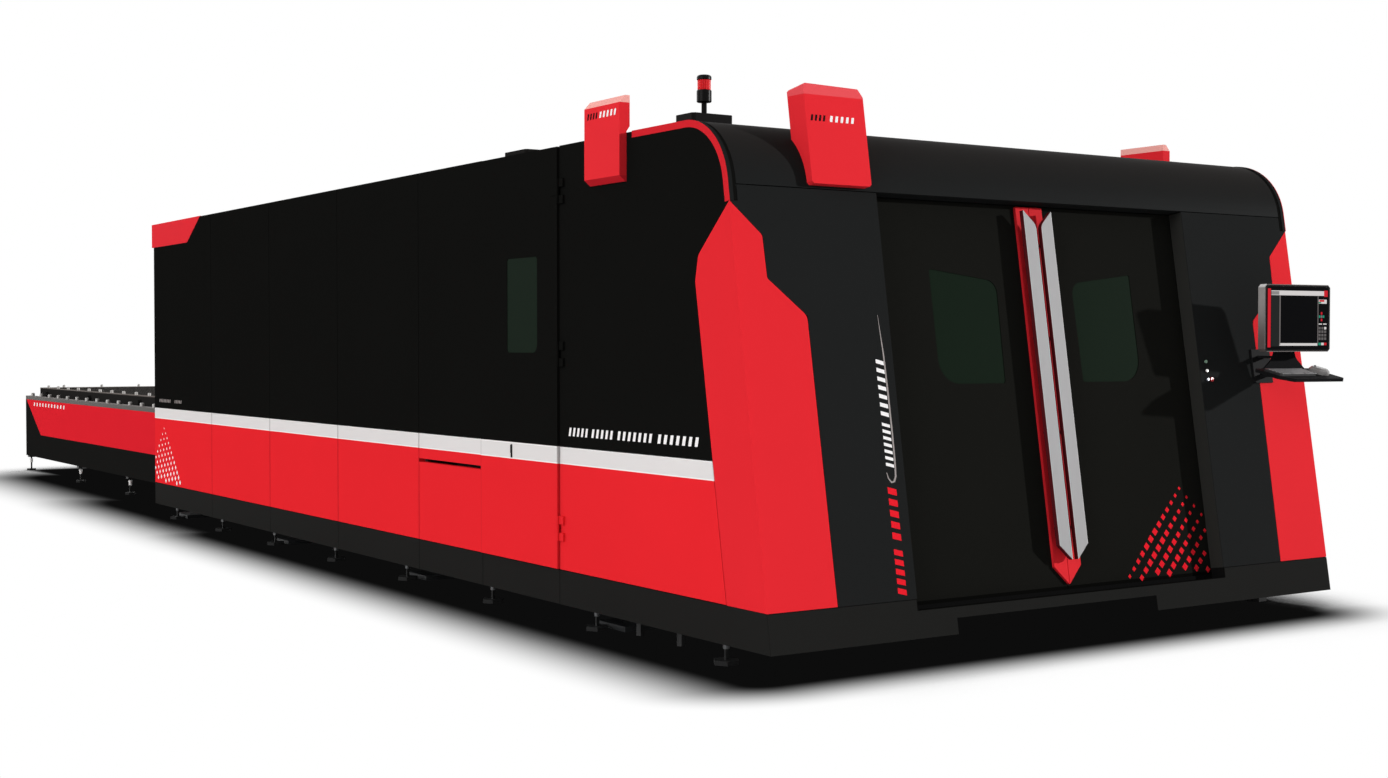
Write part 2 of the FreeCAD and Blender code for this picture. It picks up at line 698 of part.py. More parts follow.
# ---- fume duct ----
def fume_duct():
    """Suction duct along the bed legs, of flat plates, and its collar through the rear wall."""
    x = (duct_x - duct_width / 2, duct_x + duct_width / 2)
    y = (front_bay + 250, housing_length - panel_depth - 70)
    plates = [block(x, y, (duct_low, duct_low + duct_wall)), block(x, y, (duct_high - duct_wall, duct_high))]
    side = (duct_low + duct_wall, duct_high - duct_wall)
    plates.append(block((x[1] - duct_wall, x[1]), y, side))
    low, high = duct_low + duct_lip, duct_high - duct_lip
    inner = (x[0], x[0] + duct_wall)
    plates += [block(inner, y, (side[0], low)), block(inner, y, (high, side[1]))]
    rows = leg_stations()
    edges = [y[0]]
    for y0, y1 in zip(rows, rows[1:]):
        for share in (0.3, 0.7):
            middle = y0 + share * (y1 - y0)
            edges += [middle - duct_port / 2, middle + duct_port / 2]
    edges.append(y[1])
    plates += [block(inner, span, (low, high)) for span in zip(edges[::2], edges[1::2])]
    across = (x[0] + duct_wall, x[1] - duct_wall)
    plates.append(block(across, (y[0], y[0] + duct_wall), side))
    plates += square_ring(across, side, (y[1] - duct_wall, y[1]))
    face_back = housing_length + flange_thickness
    for reach, span in ((duct_mouth + duct_wall, (y[1], housing_length)),
                        (flange_half, (housing_length, face_back))):
        plates += square_ring((duct_x - reach, duct_x + reach), (duct_z - reach, duct_z + reach), span)
    collar = round_rod((duct_x, face_back, duct_z), (0, 1, 0), collar_radius, collar_length)
    bore = rod((duct_x, face_back - 1, duct_z), (0, 1, 0), collar_bore, collar_length + 2)
    keep("fume_duct", group(plates + [collar.cut(bore)]))


def square_ring(x, z, y):
    """Four plates round the square way of the outlet."""
    left, right = duct_x - duct_mouth, duct_x + duct_mouth
    low, high = duct_z - duct_mouth, duct_z + duct_mouth
    return [block((x[0], left), y, z), block((right, x[1]), y, z),
            block((left, right), y, (z[0], low)), block((left, right), y, (high, z[1]))]


# ---- cabinets in the front bay ----
def cabinets():
    x = (opening_half + 95, post_in)
    y = (front_bay - 30 - cabinet_depth, front_bay - 30)
    for name, drop, sign in zip(("electrical_cabinet", "laser_source"), cabinet_drops, (1, -1)):
        high = roof_height - drop
        body = prism(rectangle(x, y), in_xy(skirt_bottom), (0, 0, high - skirt_bottom), [12] * 4)
        doorway = block((x[0] + 30, x[1] - 30), (y[0] - 1, y[0] + 6), (skirt_bottom + 60, high - 60))
        leaf = block((x[0] + 34, x[1] - 34), (y[0] - 1, y[0] + 7), (skirt_bottom + 64, high - 64))
        body = body.cut(doorway.cut(leaf))
        for i in range(vent_count):
            z = high - 130 - vent_pitch * i
            body = body.cut(block((x[0] + 90, x[1] - 90), (y[0] - 1, y[0] + 8), (z, z + 12)))
        legs = [rod((a, b, 0), (0, 0, 1), 22, skirt_bottom + 1, 6)
                for a in (x[0] + 60, x[1] - 60) for b in (y[0] + 60, y[1] - 60)]
        shape = fused([body] + legs)
        keep(name, shape if sign > 0 else mirrored(shape))


# ---- sliding front doors ----
def window_points(grow):
    places = [(x, cowl_seam - drop) for x, drop in window]
    xs, zs = [p[0] for p in places], [p[1] for p in places]
    cx, cz = (min(xs) + max(xs)) / 2, (min(zs) + max(zs)) / 2
    return [(x + (grow if x > cx else -grow), slope(z + (grow if z > cz else -grow))) for x, z in places]


def front_doors():
    back = door_recess + door_thickness
    low, high = slope(sill_height) + 8, slope(cowl_seam) - 4
    x = (centre_gap / 2, opening_half + door_overlap)
    face = rounded_face(rectangle(x, (low, high)), in_xz(door_recess))
    leaf = folded(face, (0, 1, 0), door_thickness)
    leaf = leaf.cut(prism(window_points(0), in_xz(door_recess - 1), (0, sheet + 2, 0), window_radii))
    middle = door_recess + door_thickness / 2
    tongue = (middle - 5, middle + 5)
    leaf = fused([leaf, block((x[0] + 40, x[1] - 40), tongue, (high - sheet, high + 22)),
                  block((x[0] + 40, x[1] - 40), tongue, (low - 16, low + sheet))])
    pane_radii = [r + pane_margin for r in window_radii]
    pane = prism(window_points(pane_margin), in_xz(door_recess + sheet), (0, pane_thickness, 0), pane_radii)
    top, tip, side = slope(cowl_seam - 10), slope(sill_height + 42), slope(sill_height + 125)
    plate_face = rounded_face([(x[0], top), (backing_width, top), (backing_width, side), (x[0], tip)],
                              in_xz(door_recess - backing_depth))
    backing = folded(plate_face, (0, 1, 0), backing_depth)
    near, far = handle_gap / 2, handle_gap / 2 + handle_width
    front = door_recess - handle_stand
    grip_face = rounded_face(
        [(near, slope(cowl_seam - 105)), (far, slope(cowl_seam - 38)),
         (far, slope(sill_height + 220)), (near, slope(sill_height + 152))],
        in_xz(front), [45, 0, 0, 0])
    grip = folded(grip_face, (0, 1, 0), handle_depth, 3.0)
    first, last = sill_height + 300, cowl_seam - 190
    posts = [rod(((near + far) / 2, front + 3, slope(first + i * (last - first) / 3)), (0, 1, 0), 10,
                 handle_stand - backing_depth - 3, 8) for i in range(4)]
    grip = group([grip] + posts)
    for name, sided in (("right", lambda s: s), ("left", mirrored)):
        keep(name + "_door_leaf", lean(sided(leaf)))
        keep(name + "_door_window", lean(sided(pane)))
        keep(name + "_handle_backing", lean(sided(backing)))
        keep(name + "_door_handle", lean(sided(grip)))
    reach = post_in - 6
    top_track = block((-reach, reach), (middle - 14, middle + 14), (high + 4, slope(cowl_seam) + 34))
    slot = block((-reach - 1, reach + 1), (middle - 9, middle + 9), (high + 3, high + 26))
    top_track = top_track.cut(slot)
    low_track = block((-reach, reach), (middle - 14, middle + 14), (low - 30, low - 4))
    low_track = low_track.cut(block((-reach - 1, reach + 1), (middle - 9, middle + 9), (low - 20, low - 3)))
    keep("door_tracks", group([lean(top_track), lean(low_track)]))


# ---- side door with its window, pull and hinges ----
def side_door():
    y = (side_seams[0] + seam / 2, side_seams[1] - seam / 2)
    z = (skirt_top + seam, roof_height - 4)
    skin = half + side_door_proud
    leaf = folded(rounded_face(rectangle(y, z), in_yz(skin)), (-1, 0, 0))
    glass_y = [side_seams[0] + a for a in side_glass_y]
    glass_z = [roof_height - a for a in reversed(side_glass_drop)]
    opening = rectangle_up(glass_y, glass_z, 0)
    leaf = leaf.cut(prism(opening, in_yz(skin + 1), (-sheet - 2, 0, 0), side_glass_radii))
    pane = prism(rectangle_up(glass_y, glass_z, pane_margin), in_yz(skin - sheet), (-pane_thickness, 0, 0),
                 [r + pane_margin for r in side_glass_radii])
    slot_y = [side_seams[1] - a for a in reversed(pull_y)]
    slot_z = [lower_panel_top - a for a in reversed(pull_drop)]
    slot = rectangle_up(slot_y, slot_z, 0)
    leaf = leaf.cut(prism(slot, in_yz(skin + 1), (-sheet - 2, 0, 0)))
    cup_depth = 22.0
    cup_face = rounded_face(rectangle_up(slot_y, slot_z, 10), in_yz(skin - sheet - cup_depth))
    cup = folded(cup_face, (1, 0, 0), cup_depth, 2.0)
    lever = block((skin - sheet - cup_depth + 2, skin + 3), (slot_y[0] + 2.5, slot_y[1] - 2.5),
                  (slot_z[0] + 24, slot_z[1] - 3))
    knuckles, fixed = [], []
    px, py = hinge_line()
    end_gap = 0.5
    for z0 in (skirt_top + 182, (skirt_top + roof_height) / 2, roof_height - 240):
        knuckle = rod((px, py, z0), (0, 0, 1), hinge_radius, hinge_leaf)
        strap = block((skin, skin + 3), (py, y[0] + 60), (z0, z0 + hinge_leaf))
        bore = rod((px, py, z0 - 1), (0, 0, 1), clear_of(pin_radius), hinge_leaf + 2)
        knuckles.append(fused([knuckle, strap]).cut(bore))
        pin = rod((px, py, z0 - end_gap), (0, 0, 1), pin_radius, hinge_leaf + 2 * end_gap)
        lows = (z0 - hinge_leaf, z0 + hinge_leaf + end_gap)
        halves = [rod((px, py, a), (0, 0, 1), hinge_radius, hinge_leaf - end_gap) for a in lows]
        straps = [block((half, half + side_door_proud), (py - 45, py - 2), (a, a + hinge_leaf - end_gap))
                  for a in lows]
        fixed.append(fused([pin] + halves + straps))
    leaf = fused([leaf] + knuckles)
    keep("side_door_leaf", mirrored(leaf))
    keep("side_door_window", mirrored(pane))
    keep("side_door_pull", mirrored(fused([cup, lever])))
    keep("side_door_hinges", group([mirrored(s) for s in fixed]))


def rectangle_up(y, z, grow):
    """Corners of an opening in the side, from low front round by the top, moved out by grow."""
    front, back, low, high = y[0] - grow, y[1] + grow, z[0] - grow, z[1] + grow
    return [(front, low), (front, high), (back, high), (back, low)]


def hinge_line():
    """The side door's hinge pins, seen on the right-hand side before mirroring."""
    return half + side_door_proud + 4.0, side_seams[0] - 9.0


# ---- scrap drawer ----
def scrap_drawer():
    y = (side_seams[1] + seam / 2, side_seams[2] - seam / 2)
    front = folded(rounded_face(rectangle(y, (skirt_top + seam / 2, drawer_top)), in_yz(half)), (-1, 0, 0))
    keep("drawer_front", mirrored(front))
    inner = bin_span()
    x = (half - sheet - bin_length, half - sheet)
    floor_top = bin_low + bin_wall
    across = (x[0] + bin_wall, x[1] - bin_wall)
    plates = [block(x, inner, (bin_low, floor_top))]
    plates += [block(span, inner, (floor_top, bin_high)) for span in ((x[0], across[0]), (across[1], x[1]))]
    plates += [block(across, span, (floor_top, bin_high))
               for span in ((inner[0], inner[0] + bin_wall), (inner[1] - bin_wall, inner[1]))]
    keep("scrap_bin", group([mirrored(plate) for plate in plates]))


def bin_span():
    return side_seams[1] + post_size / 2 + 25, side_seams[2] - post_size / 2 - 25


def drawer_runners():
    """Bars across the bed ties that the scrap bin slides on."""
    inner = bin_span()
    return [mirrored(block((370, post_in - 4), (a - 20, a + 20), (tie_z[1], bin_low - 0.5)))
            for a in (inner[0] + 20, inner[1] - 20)]


# ---- gantry, carriage and cutting head ----
def gantry():
    y = (gantry_y - gantry_depth / 2, gantry_y + gantry_depth / 2)
    z = (gantry_bottom, gantry_bottom + gantry_height)
    inner = rail_x - leg_size / 2
    beam = square_tube((-inner, inner), y, z, 10.0)
    for i in range(beam_hole_count):
        x = inner * (2 * i + 1 - beam_hole_count) / beam_hole_count
        beam = beam.cut(rod((x, y[1] - 20, sum(z) / 2), (0, 1, 0), beam_hole_radius, 30, 8))
    rails = [block((-inner, inner), (y[0] - way_height, y[0]), (c - 10, c + 10))
             for c in (z[0] + way_inset, z[1] - way_inset)]
    keep("gantry_beam", group([beam] + rails))
    block_z = (bed_top + 5, bed_top + rail_height + 25)
    plate_z = (block_z[1], gantry_bottom + gantry_height)
    x = (inner, rail_x + leg_size / 2)
    truck = block(x, (gantry_y - truck_length / 2, gantry_y + truck_length / 2), plate_z)
    end, top = gantry_y - truck_length / 2 - 1, plate_z[1] + 1
    flank = prism([(end, plate_z[0] + 90), (gantry_y - gantry_depth / 2, top), (end, top)],
                  in_yz(x[0] - 1), (leg_size + 2, 0, 0))
    other = flank.mirror(Vector(0, gantry_y, 0), Vector(0, 1, 0))
    truck = truck.cut(flank).cut(other)
    bearings = []
    for end in (-1, 1):
        middle = gantry_y + end * (truck_length / 2 - 60)
        bearing = block((rail_x - 40, rail_x + 40), (middle - 55, middle + 55), block_z)
        groove = block((rail_x - rail_width / 2 - slide_gap, rail_x + rail_width / 2 + slide_gap),
                       (middle - 56, middle + 56), (block_z[0] - 1, bed_top + rail_height + slide_gap))
        bearings.append(bearing.cut(groove))
    gearbox = block((rail_x - 45, rail_x + 45), (gantry_y - 45, gantry_y + 45),
                    (plate_z[1], plate_z[1] + 90))
    motor = rod((rail_x, gantry_y, plate_z[1] + 90), (0, 0, 1), 42, 190)
    keep("gantry_trucks", group(both_sides([fused([truck] + bearings), fused([gearbox, motor])])))


def carriage_x():
    return -(rail_x - leg_size / 2 - 185.0)


def carriage():
    """Plate on the beam's rails, with shoes for the head's own rails and the lift motor."""
    y, z = gantry_y - gantry_depth / 2, (gantry_bottom, gantry_bottom + gantry_height)
    x = carriage_x()
    plate = block((x - carriage_half, x + carriage_half), (y - carriage_front, y - 44),
                  (z[0] - 20, z[1] + 60))
    shoes = []
    for c in (z[0] + way_inset, z[1] - way_inset):
        for side in (45 - carriage_half, carriage_half - 45):
            shoe = block((x + side - 35, x + side + 35), (y - 44, y - 6), (c - 26, c + 26))
            groove = block((x + side - 36, x + side + 36), (y - way_height - slide_gap, y - 5),
                           (c - 10 - slide_gap, c + 10 + slide_gap))
            shoes.append(shoe.cut(groove))
    front = y - carriage_front
    reach = way_half + slide_gap
    for a in (-way_offset, way_offset):
        for c in shoe_heights():
            shoe = block((x + a - 22, x + a + 22), (front - 17, front), (c - 30, c + 30))
            groove = block((x + a - reach, x + a + reach), (front - 18, front - 4 + slide_gap),
                           (c - 31, c + 31))
            shoes.append(shoe.cut(groove))
    top = block((x - 55, x + 55), (front, y + 20), (z[1] + 60, z[1] + 72))
    motor = rod((x, y - 22, z[1] + 72), (0, 0, 1), 36, 170)
    keep("cross_carriage", fused([plate] + shoes + [top, motor]))


def shoe_heights():
    return gantry_bottom + 50, gantry_bottom + gantry_height - 10


def head():
    """Slide with long rails, and the turned cutting head bolted to it."""
    x = carriage_x()
    front = gantry_y - gantry_depth / 2 - carriage_front
    shoe_low, shoe_high = shoe_heights()
    z = (shoe_low - 110, shoe_high + head_stroke + 60)
    slide = block((x - 95, x + 95), (front - 40, front - 20), z)
    ways = [block((x + a - way_half, x + a + way_half), (front - 20, front - 4), (z[0] + 10, z[1] - 10))
            for a in (-way_offset, way_offset)]
    keep("head_slide", fused([slide] + ways))
    tip = pallet_top + nozzle_clear
    cx, cy = x, front - 40 - 48
    profile = [(3, 0), (11, 16), (11, 30), (30, 60), (30, 110), (36, 118), (36, 260), (28, 268), (28, 330)]
    turned = turning(profile, (cx, cy, tip))
    bracket = block((cx - 40, cx + 40), (cy, front - 40), (tip + 150, tip + 240))
    keep("cutting_head", fused([turned, bracket]))


# ---- pallets ----
def pallet(top, y0):
    """One pallet frame with its wheels and stops, and the slats that stand in it."""
    z = (top - pallet_height, top)
    y1 = y0 + pallet_length
    inside = pallet_half - pallet_beam
    side = block((inside, pallet_half), (y0, y1), z)
    side = side.cut(block((inside - 1, pallet_half - 10), (y0 + 10, y1 - 10), (z[0] + 12, z[1] - 40)))
    ledge = block((inside - 30, inside), (y0 + pallet_beam, y1 - pallet_beam), (z[0], z[0] + slat_seat))
    rail = [side, ledge]
    spread = (pallet_length - 2 * wheel_inset) / (wheels_per_side - 1)
    for i in range(wheels_per_side):
        y = y0 + wheel_inset + i * spread
        centre = z[0] - running_gap + wheel_radius * math.cos(math.pi / wheel_sides)
        rail.append(rod((pallet_half - 1, y, centre), (1, 0, 0), wheel_radius, wheel_width + 5, wheel_sides))
    end_gap = 250.0
    along = int((pallet_length - 2 * end_gap) // stud_pitch)
    x = pallet_half - pallet_beam / 2
    rail += [stud(x, y0 + end_gap + i * stud_pitch, top) for i in range(along + 1)]
    rail = fused(rail)
    members = [rail, mirrored(rail)]
    end_pitch = 2 * inside / (end_stud_count - 0.1)
    end_studs = [(i - (end_stud_count - 1) / 2) * end_pitch for i in range(end_stud_count)]
    for span in ((y0, y0 + pallet_beam), (y1 - pallet_beam, y1)):
        bar = block((-inside, inside), span, z)
        members.append(fused([bar] + [stud(x, sum(span) / 2, top) for x in end_studs]))
    pitch = (pallet_length - 2 * pallet_beam) / (tie_count + 1)
    for i in range(tie_count):
        y = y0 + pallet_beam + pitch * (i + 1)
        members.append(block((30 - inside, inside - 30), (y - 20, y + 20), (z[0], z[0] + slat_seat)))
    number = int((pallet_length - 2 * pallet_beam - 60) // slat_pitch)
    first = y0 + (pallet_length - (number - 1) * slat_pitch) / 2
    low = z[0] + slat_seat
    slats = [slat(first + i * slat_pitch, low, low + slat_height, inside - 1) for i in range(number)]
    return group(members), group(slats)


def stud(x, y, top):
    return rod((x, y, top - 1), (0, 0, 1), 13, 27, 4)


def slat(y, low, high, reach):
    """A saw-toothed support slat."""
    step = 2 * reach / teeth_per_slat
    points = [(-reach, low), (reach, low), (reach, high - tooth_depth)]
    for i in range(teeth_per_slat):
        right = reach - i * step
        points.append((right - step / 2, high))
        points.append((right - step, high - tooth_depth))
    return prism(points, in_xz(y - slat_thickness / 2), (0, slat_thickness, 0))


def pallets():
    frame, slats = pallet(pallet_top, pallet_out)
    keep("upper_pallet_frame", frame)
    keep("upper_pallet_slats", slats)
    frame, slats = pallet(pallet_top - level_drop, pallet_in)
    keep("lower_pallet_frame", frame)
    keep("lower_pallet_slats", slats)


# ---- exchange table ----
def table(housing_feet):
    """Side plates on cross tubes, carrying the two pairs of running rails."""
    outer = pallet_half + 140.0
    y = (table_front, table_back)
    low, plate_top = table_plate_bottom, table_edge_top - 40
    end_gap = 400.0
    spacing = (table_back - table_front - 2 * end_gap) / (table_rows - 1)
    rows = [table_front + end_gap + i * spacing for i in range(table_rows)]
    inside = outer - table_wall
    side = [block((inside, outer), (housing_length, table_back), (low, plate_top))]
    side.append(block((pallet_half + running_gap, outer - 65), y, (rail_top - carrier_height, rail_top)))
    side.append(block((pallet_half + running_gap, inside), y,
                      (lower_rail_top - carrier_height, lower_rail_top)))
    across = [square_tube((-inside, inside), (row - 40, row + 40), (low, low + 80)) for row in rows]
    stop = block((-inside, inside), (table_back - 12, table_back), (low, lower_rail_top - 40))
    keep("table_frame", group(both_sides(side) + across + [stop]))

    x = outer - 40
    legs = []
    for row in rows[:-1] + [table_back - 60]:
        shelf = block((outer - 75, inside), (row - 35, row + 35), (low - 20, low))
        legs.append(fused([foot(x, row, 0.8 * foot_radius, low - 19), shelf]))
    keep("levelling_feet", group(housing_feet + both_sides(legs)))

    edge = [block((outer - 65, outer), y, (plate_top, table_edge_top))]
    number = int((table_back - table_front - 300) // table_stud_pitch)
    for i in range(number + 1):
        row = table_back - 190 - i * table_stud_pitch
        edge.append(rod((outer - 32, row, table_edge_top - 1), (0, 0, 1), 17, 33, 4))
    keep("table_edge_rails", group(both_sides([fused(edge)])))
    red = [(table_front, red_panel_low), (table_back - 680, red_panel_low),
           (table_back - 50, plate_top), (table_front, plate_top)]
    keep("table_side_panels", group(both_sides([prism(red, in_yz(outer), (3, 0, 0), [0, 12, 0, 0])])))

    gear_y = table_back - 330
    gearbox = block((-110, 110), (gear_y - 90, gear_y + 90), (low + 82, low + 260))
    motor = rod((110, gear_y, low + 170), (1, 0, 0), 75, 260)
    floor = block((-160, 160), (rows[-1] - 40, gear_y + 110), (low + 80, low + 92))
    keep("exchange_drive", fused([gearbox, motor, floor]))


# ---- banners and stack light ----
def banners():
    outer = half + banner_proud
    profile = [(outer, 135), (outer - 31, 170), (outer - 55, 170), (outer - 55, 30),
               (half, 6), (half, -220), (half + 8, -220), (outer, -195)]
    side = prism([(x, roof_height + rise) for x, rise in profile], in_xz(banner_front), (0, 317, 0))
    top = slope(roof_height) + 160
    low = slope(cowl_seam) + 12
    left, right = 415 - half, 740 - half
    sheet_face = [(left, low), (right, low), (right, top - 42), (right - 26, top - 6), (left, top)]
    front = lean(prism(sheet_face, in_xz(-banner_proud), (0, 118, 0), [10, 10, 6, 6, 10]))
    front = front.cut(front_volume(skirt_top, cowl_back, (left - 40, right + 40)))
    keep("roof_banners", group(both_sides([side]) + [front]))


def stack_light():
    x, y, z = 478 - half, 1200.0, roof_height
    base = prism([(x - 115, y - 80), (x + 115, y - 80), (x + 115, y + 80), (x - 115, y + 80)],
                 in_xy(z), (0, 0, 120), [14] * 4)
    pole = rod((x, y, z + 119), (0, 0, 1), 13, 63)
    keep("stack_light_base", fused([base, pole]))
    profile = [(36, 0), (37, 4), (37, 56), (32, 60), (27, 60), (27, 104), (28, 106), (28, 122), (22, 129)]
    keep("stack_light_lamp", turning(profile, (x, y, z + 182)))


# ---- push buttons beside the doors ----
def button_places():
    x, lowest = opening_half + 45.0, button_heights[-1]
    return [(x, z) for z in button_heights] + [(x + 28.0, lowest)]


def buttons():
    names = ["start_button", "pause_button", "reset_button", "emergency_stop"]
    for name, (x, z) in zip(names, button_places()):
        cap = button_cap if name != "emergency_stop" else 11.0
        height = slope(z)
        stem = rod((x, -5, height), (0, 1, 0), button_stem, 22)
        keep(name, lean(fused([rod((x, -9, height), (0, 1, 0), cap, 5), stem])))


# ---- operator console ----
def console_place(shape):
    shape.translate(Vector(console_x, console_y, 0))
    shape.rotate(Vector(console_x, console_y, 0), Vector(0, 0, 1), console_turn)
    return shape


def on_tray(shape):
    shape.rotate(Vector(0, tray_y, tray_z + 8), Vector(1, 0, 0), tray_tilt)
    return shape


def console_bracket():
    plate_x = (console_x - 70, console_x + 70)
    plate = lean(block(plate_x, (-8, 0), (slope(console_low - 45), slope(console_low + 125))))
    pieces = [plate]
    for z in (console_low - 14, console_low + 81):
        near, far = face_y(z) - 4, console_y - 22
        lug = [(console_x - 28, near), (console_x - 24, far), (console_x + 24, far), (console_x + 28, near)]
        pieces.append(prism(lug, in_xy(z), (0, 0, 13), [0, 18, 18, 0]))
    pieces.append(rod((console_x, console_y, console_low - 14), (0, 0, 1), console_pin, 108))
    keep("console_bracket", fused(pieces))


def console_arm():
    """Hub on the swivel pin, the flared neck, the tilt bar and the tray."""
    hub = rod((0, 0, console_low), (0, 0, 1), 22, 80)
    arm = block((-20, 20), (neck_y[0], 0), (console_low + 10, console_low + 66))
    low = console_low - 2
    outline = [(150, low), (150, low + 18), (66, low + 92), (66, tilt_z)]
    outline += [(-x, z) for x, z in reversed(outline)]
    radii = [0, 4, 70, 0, 0, 70, 4, 0]
    neck = prism(outline, in_xz(neck_y[0]), (0, neck_y[1] - neck_y[0], 0), radii)
    bar = rod((-90, tilt_y, tilt_z), (1, 0, 0), tilt_bar, 180)
    side, front = tray_width / 2, tray_y - tray_depth
    tray = [(-side, neck_y[1]), (side, neck_y[1]), (side, front), (-side + 45, front), (-side, front + 70)]
    tray = on_tray(prism(tray, in_xy(tray_z), (0, 0, tray_plate), [10, 10, 14, 20, 20]))
    bore = rod((0, 0, console_low - 1), (0, 0, 1), clear_of(console_pin), 82)
    keep("console_arm", console_place(fused([hub, arm, neck, bar, tray]).cut(bore)))


def keyboard_and_mouse():
    top, front = tray_z + tray_plate, tray_y - tray_depth
    keys = rectangle((14 - tray_width / 2, 60), (front + 62, tray_y - 24))
    keep("keyboard", console_place(on_tray(prism(keys, in_xy(top), (0, 0, 11), [8] * 4))))
    puck = prism(rectangle((96, 156), (front + 62, tray_y - 36)), in_xy(top), (0, 0, 30), [26] * 4)
    puck = puck.makeChamfer(12, [e for e in puck.Edges if e.BoundBox.ZMin > top + 29.9])
    keep("mouse", console_place(on_tray(puck)))


def monitor():
    y = (-85 - monitor_depth, -85)
    z = (monitor_bottom, monitor_bottom + monitor_height)
    w = monitor_width / 2
    shell = prism(rectangle((-w, w), z), in_xz(y[0]), (0, monitor_depth - 18, 0), [14] * 4)
    recess = rectangle((-w + 10, w - 10), (z[0] + 10, z[1] - 10))
    shell = shell.cut(prism(recess, in_xz(y[0] - 1), (0, 5, 0), [8] * 4))
    cover = rectangle((-w + 28, w - 28), (z[0] + 24, z[1] - 24))
    back = prism(cover, in_xz(y[0] + monitor_depth - 19), (0, 19, 0), [14] * 4)
    ear = [(y[1] - 1, tilt_z - 22), (tilt_y + 2, tilt_z - 18), (tilt_y + 16, tilt_z),
           (tilt_y + 2, tilt_z + 18), (y[1] - 1, tilt_z + 22)]
    ears = [prism(ear, in_yz(x), (12, 0, 0), [0, 8, 8, 8, 0]) for x in (-86, 74)]
    bore = rod((-100, tilt_y, tilt_z), (1, 0, 0), clear_of(tilt_bar), 200)
    keep("monitor_housing", console_place(fused([shell, back] + ears).cut(bore)))
    glass = rectangle((-w + 10.5, w - 10.5), (z[0] + 10.5, z[1] - 10.5))
    keep("monitor_screen", console_place(prism(glass, in_xz(y[0] + 0.5), (0, 3.5, 0), [8] * 4)))


def build():
    side_walls()
    skirts()
    front_panels()
    cowl()
    corner_pieces()
    roof()
    rear_wall()
    housing_feet = housing_frame(rear_gate())
    bed()
    fume_duct()
    cabinets()
    front_doors()
    side_door()
    scrap_drawer()
    gantry()
    carriage()
    head()
    pallets()
    table(housing_feet)
    banners()
    stack_light()
    buttons()
    console_bracket()
    console_arm()
    keyboard_and_mouse()
    monitor()


def export():
    """Centre the machine over the origin and write each node."""
    box = Part.Compound(list(parts.values())).BoundBox
    shift = -(box.YMin + box.YMax) / 2
    os.makedirs("parts", exist_ok=True)
    for name, shape in parts.items():
        shape.translate(Vector(0, shift, 0))
        shape.exportStep("parts/" + name + ".step")
    print("nodes", len(parts), "shift", round(shift, 3), "x", round(box.XMin, 1), round(box.XMax, 1),
          "y", round(box.YMin, 1), round(box.YMax, 1), "z", round(box.ZMin, 1), round(box.ZMax, 1))
    return shift


build()
shift_y = export()
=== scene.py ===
import math

import bpy
from mathutils import Euler, Matrix, Vector


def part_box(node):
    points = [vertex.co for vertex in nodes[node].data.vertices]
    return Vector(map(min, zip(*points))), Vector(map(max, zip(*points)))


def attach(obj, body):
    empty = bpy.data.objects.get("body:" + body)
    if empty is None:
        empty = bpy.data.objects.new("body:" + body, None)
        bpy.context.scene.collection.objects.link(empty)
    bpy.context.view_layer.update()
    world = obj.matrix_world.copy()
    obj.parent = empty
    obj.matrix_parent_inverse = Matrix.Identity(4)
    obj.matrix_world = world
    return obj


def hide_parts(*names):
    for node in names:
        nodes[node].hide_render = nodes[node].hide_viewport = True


# Looks of a fiber laser cutting machine, in metres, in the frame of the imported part.

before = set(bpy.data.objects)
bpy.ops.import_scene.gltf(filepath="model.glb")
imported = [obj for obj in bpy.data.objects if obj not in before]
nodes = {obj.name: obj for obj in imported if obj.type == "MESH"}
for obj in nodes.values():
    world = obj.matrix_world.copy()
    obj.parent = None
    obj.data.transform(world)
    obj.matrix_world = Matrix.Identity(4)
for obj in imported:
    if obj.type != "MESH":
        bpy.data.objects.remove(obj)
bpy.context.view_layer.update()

# places on the machine that several pieces share
housing = {
    "skirtEdge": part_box("skirt_panels")[0].y,      # front edge of the skirt
    "footLine": 0.100,                             # height where the leaning front starts
    "rake": math.atan(0.161),
    "half": 1.778,
    "recess": 0.085,                               # door leaf behind the front plates
    "bandLow": 0.783,
    "bandHigh": 0.867,
    "seams": [1.745, 2.573, 3.366, 4.557, 5.758, 6.973],
}
console = {"x": 1.450, "y": 0.095, "turn": math.radians(-8.0), "trayY": -0.074, "trayZ": 1.228,
           "trayTilt": math.radians(12.0), "trayTop": 1.2360, "keyHeight": 0.0110}


def alongBed(y):
    return y + housing["skirtEdge"]


def onFront(x, height, depth=0.0):
    # a point on the leaning front: height is measured up the slope, depth goes into the machine
    run, rise = math.sin(housing["rake"]), math.cos(housing["rake"])
    up = height - housing["footLine"]
    y = up * run + depth * rise
    z = housing["footLine"] + up * rise - depth * run
    return Vector((x, alongBed(y), z))


def columns(a, b, c):
    return Matrix((a, b, c)).transposed()


lean = housing["rake"]
# which way a flat detail faces: its own X, Y and outward Z
facing = {
    "up": Matrix.Identity(3),
    "left": columns((0, -1, 0), (0, 0, 1), (-1, 0, 0)),
    "rear": columns((-1, 0, 0), (0, 0, 1), (0, 1, 0)),
    "leaning": columns((1, 0, 0), (0, math.sin(lean), math.cos(lean)), (0, -math.cos(lean), math.sin(lean))),
}


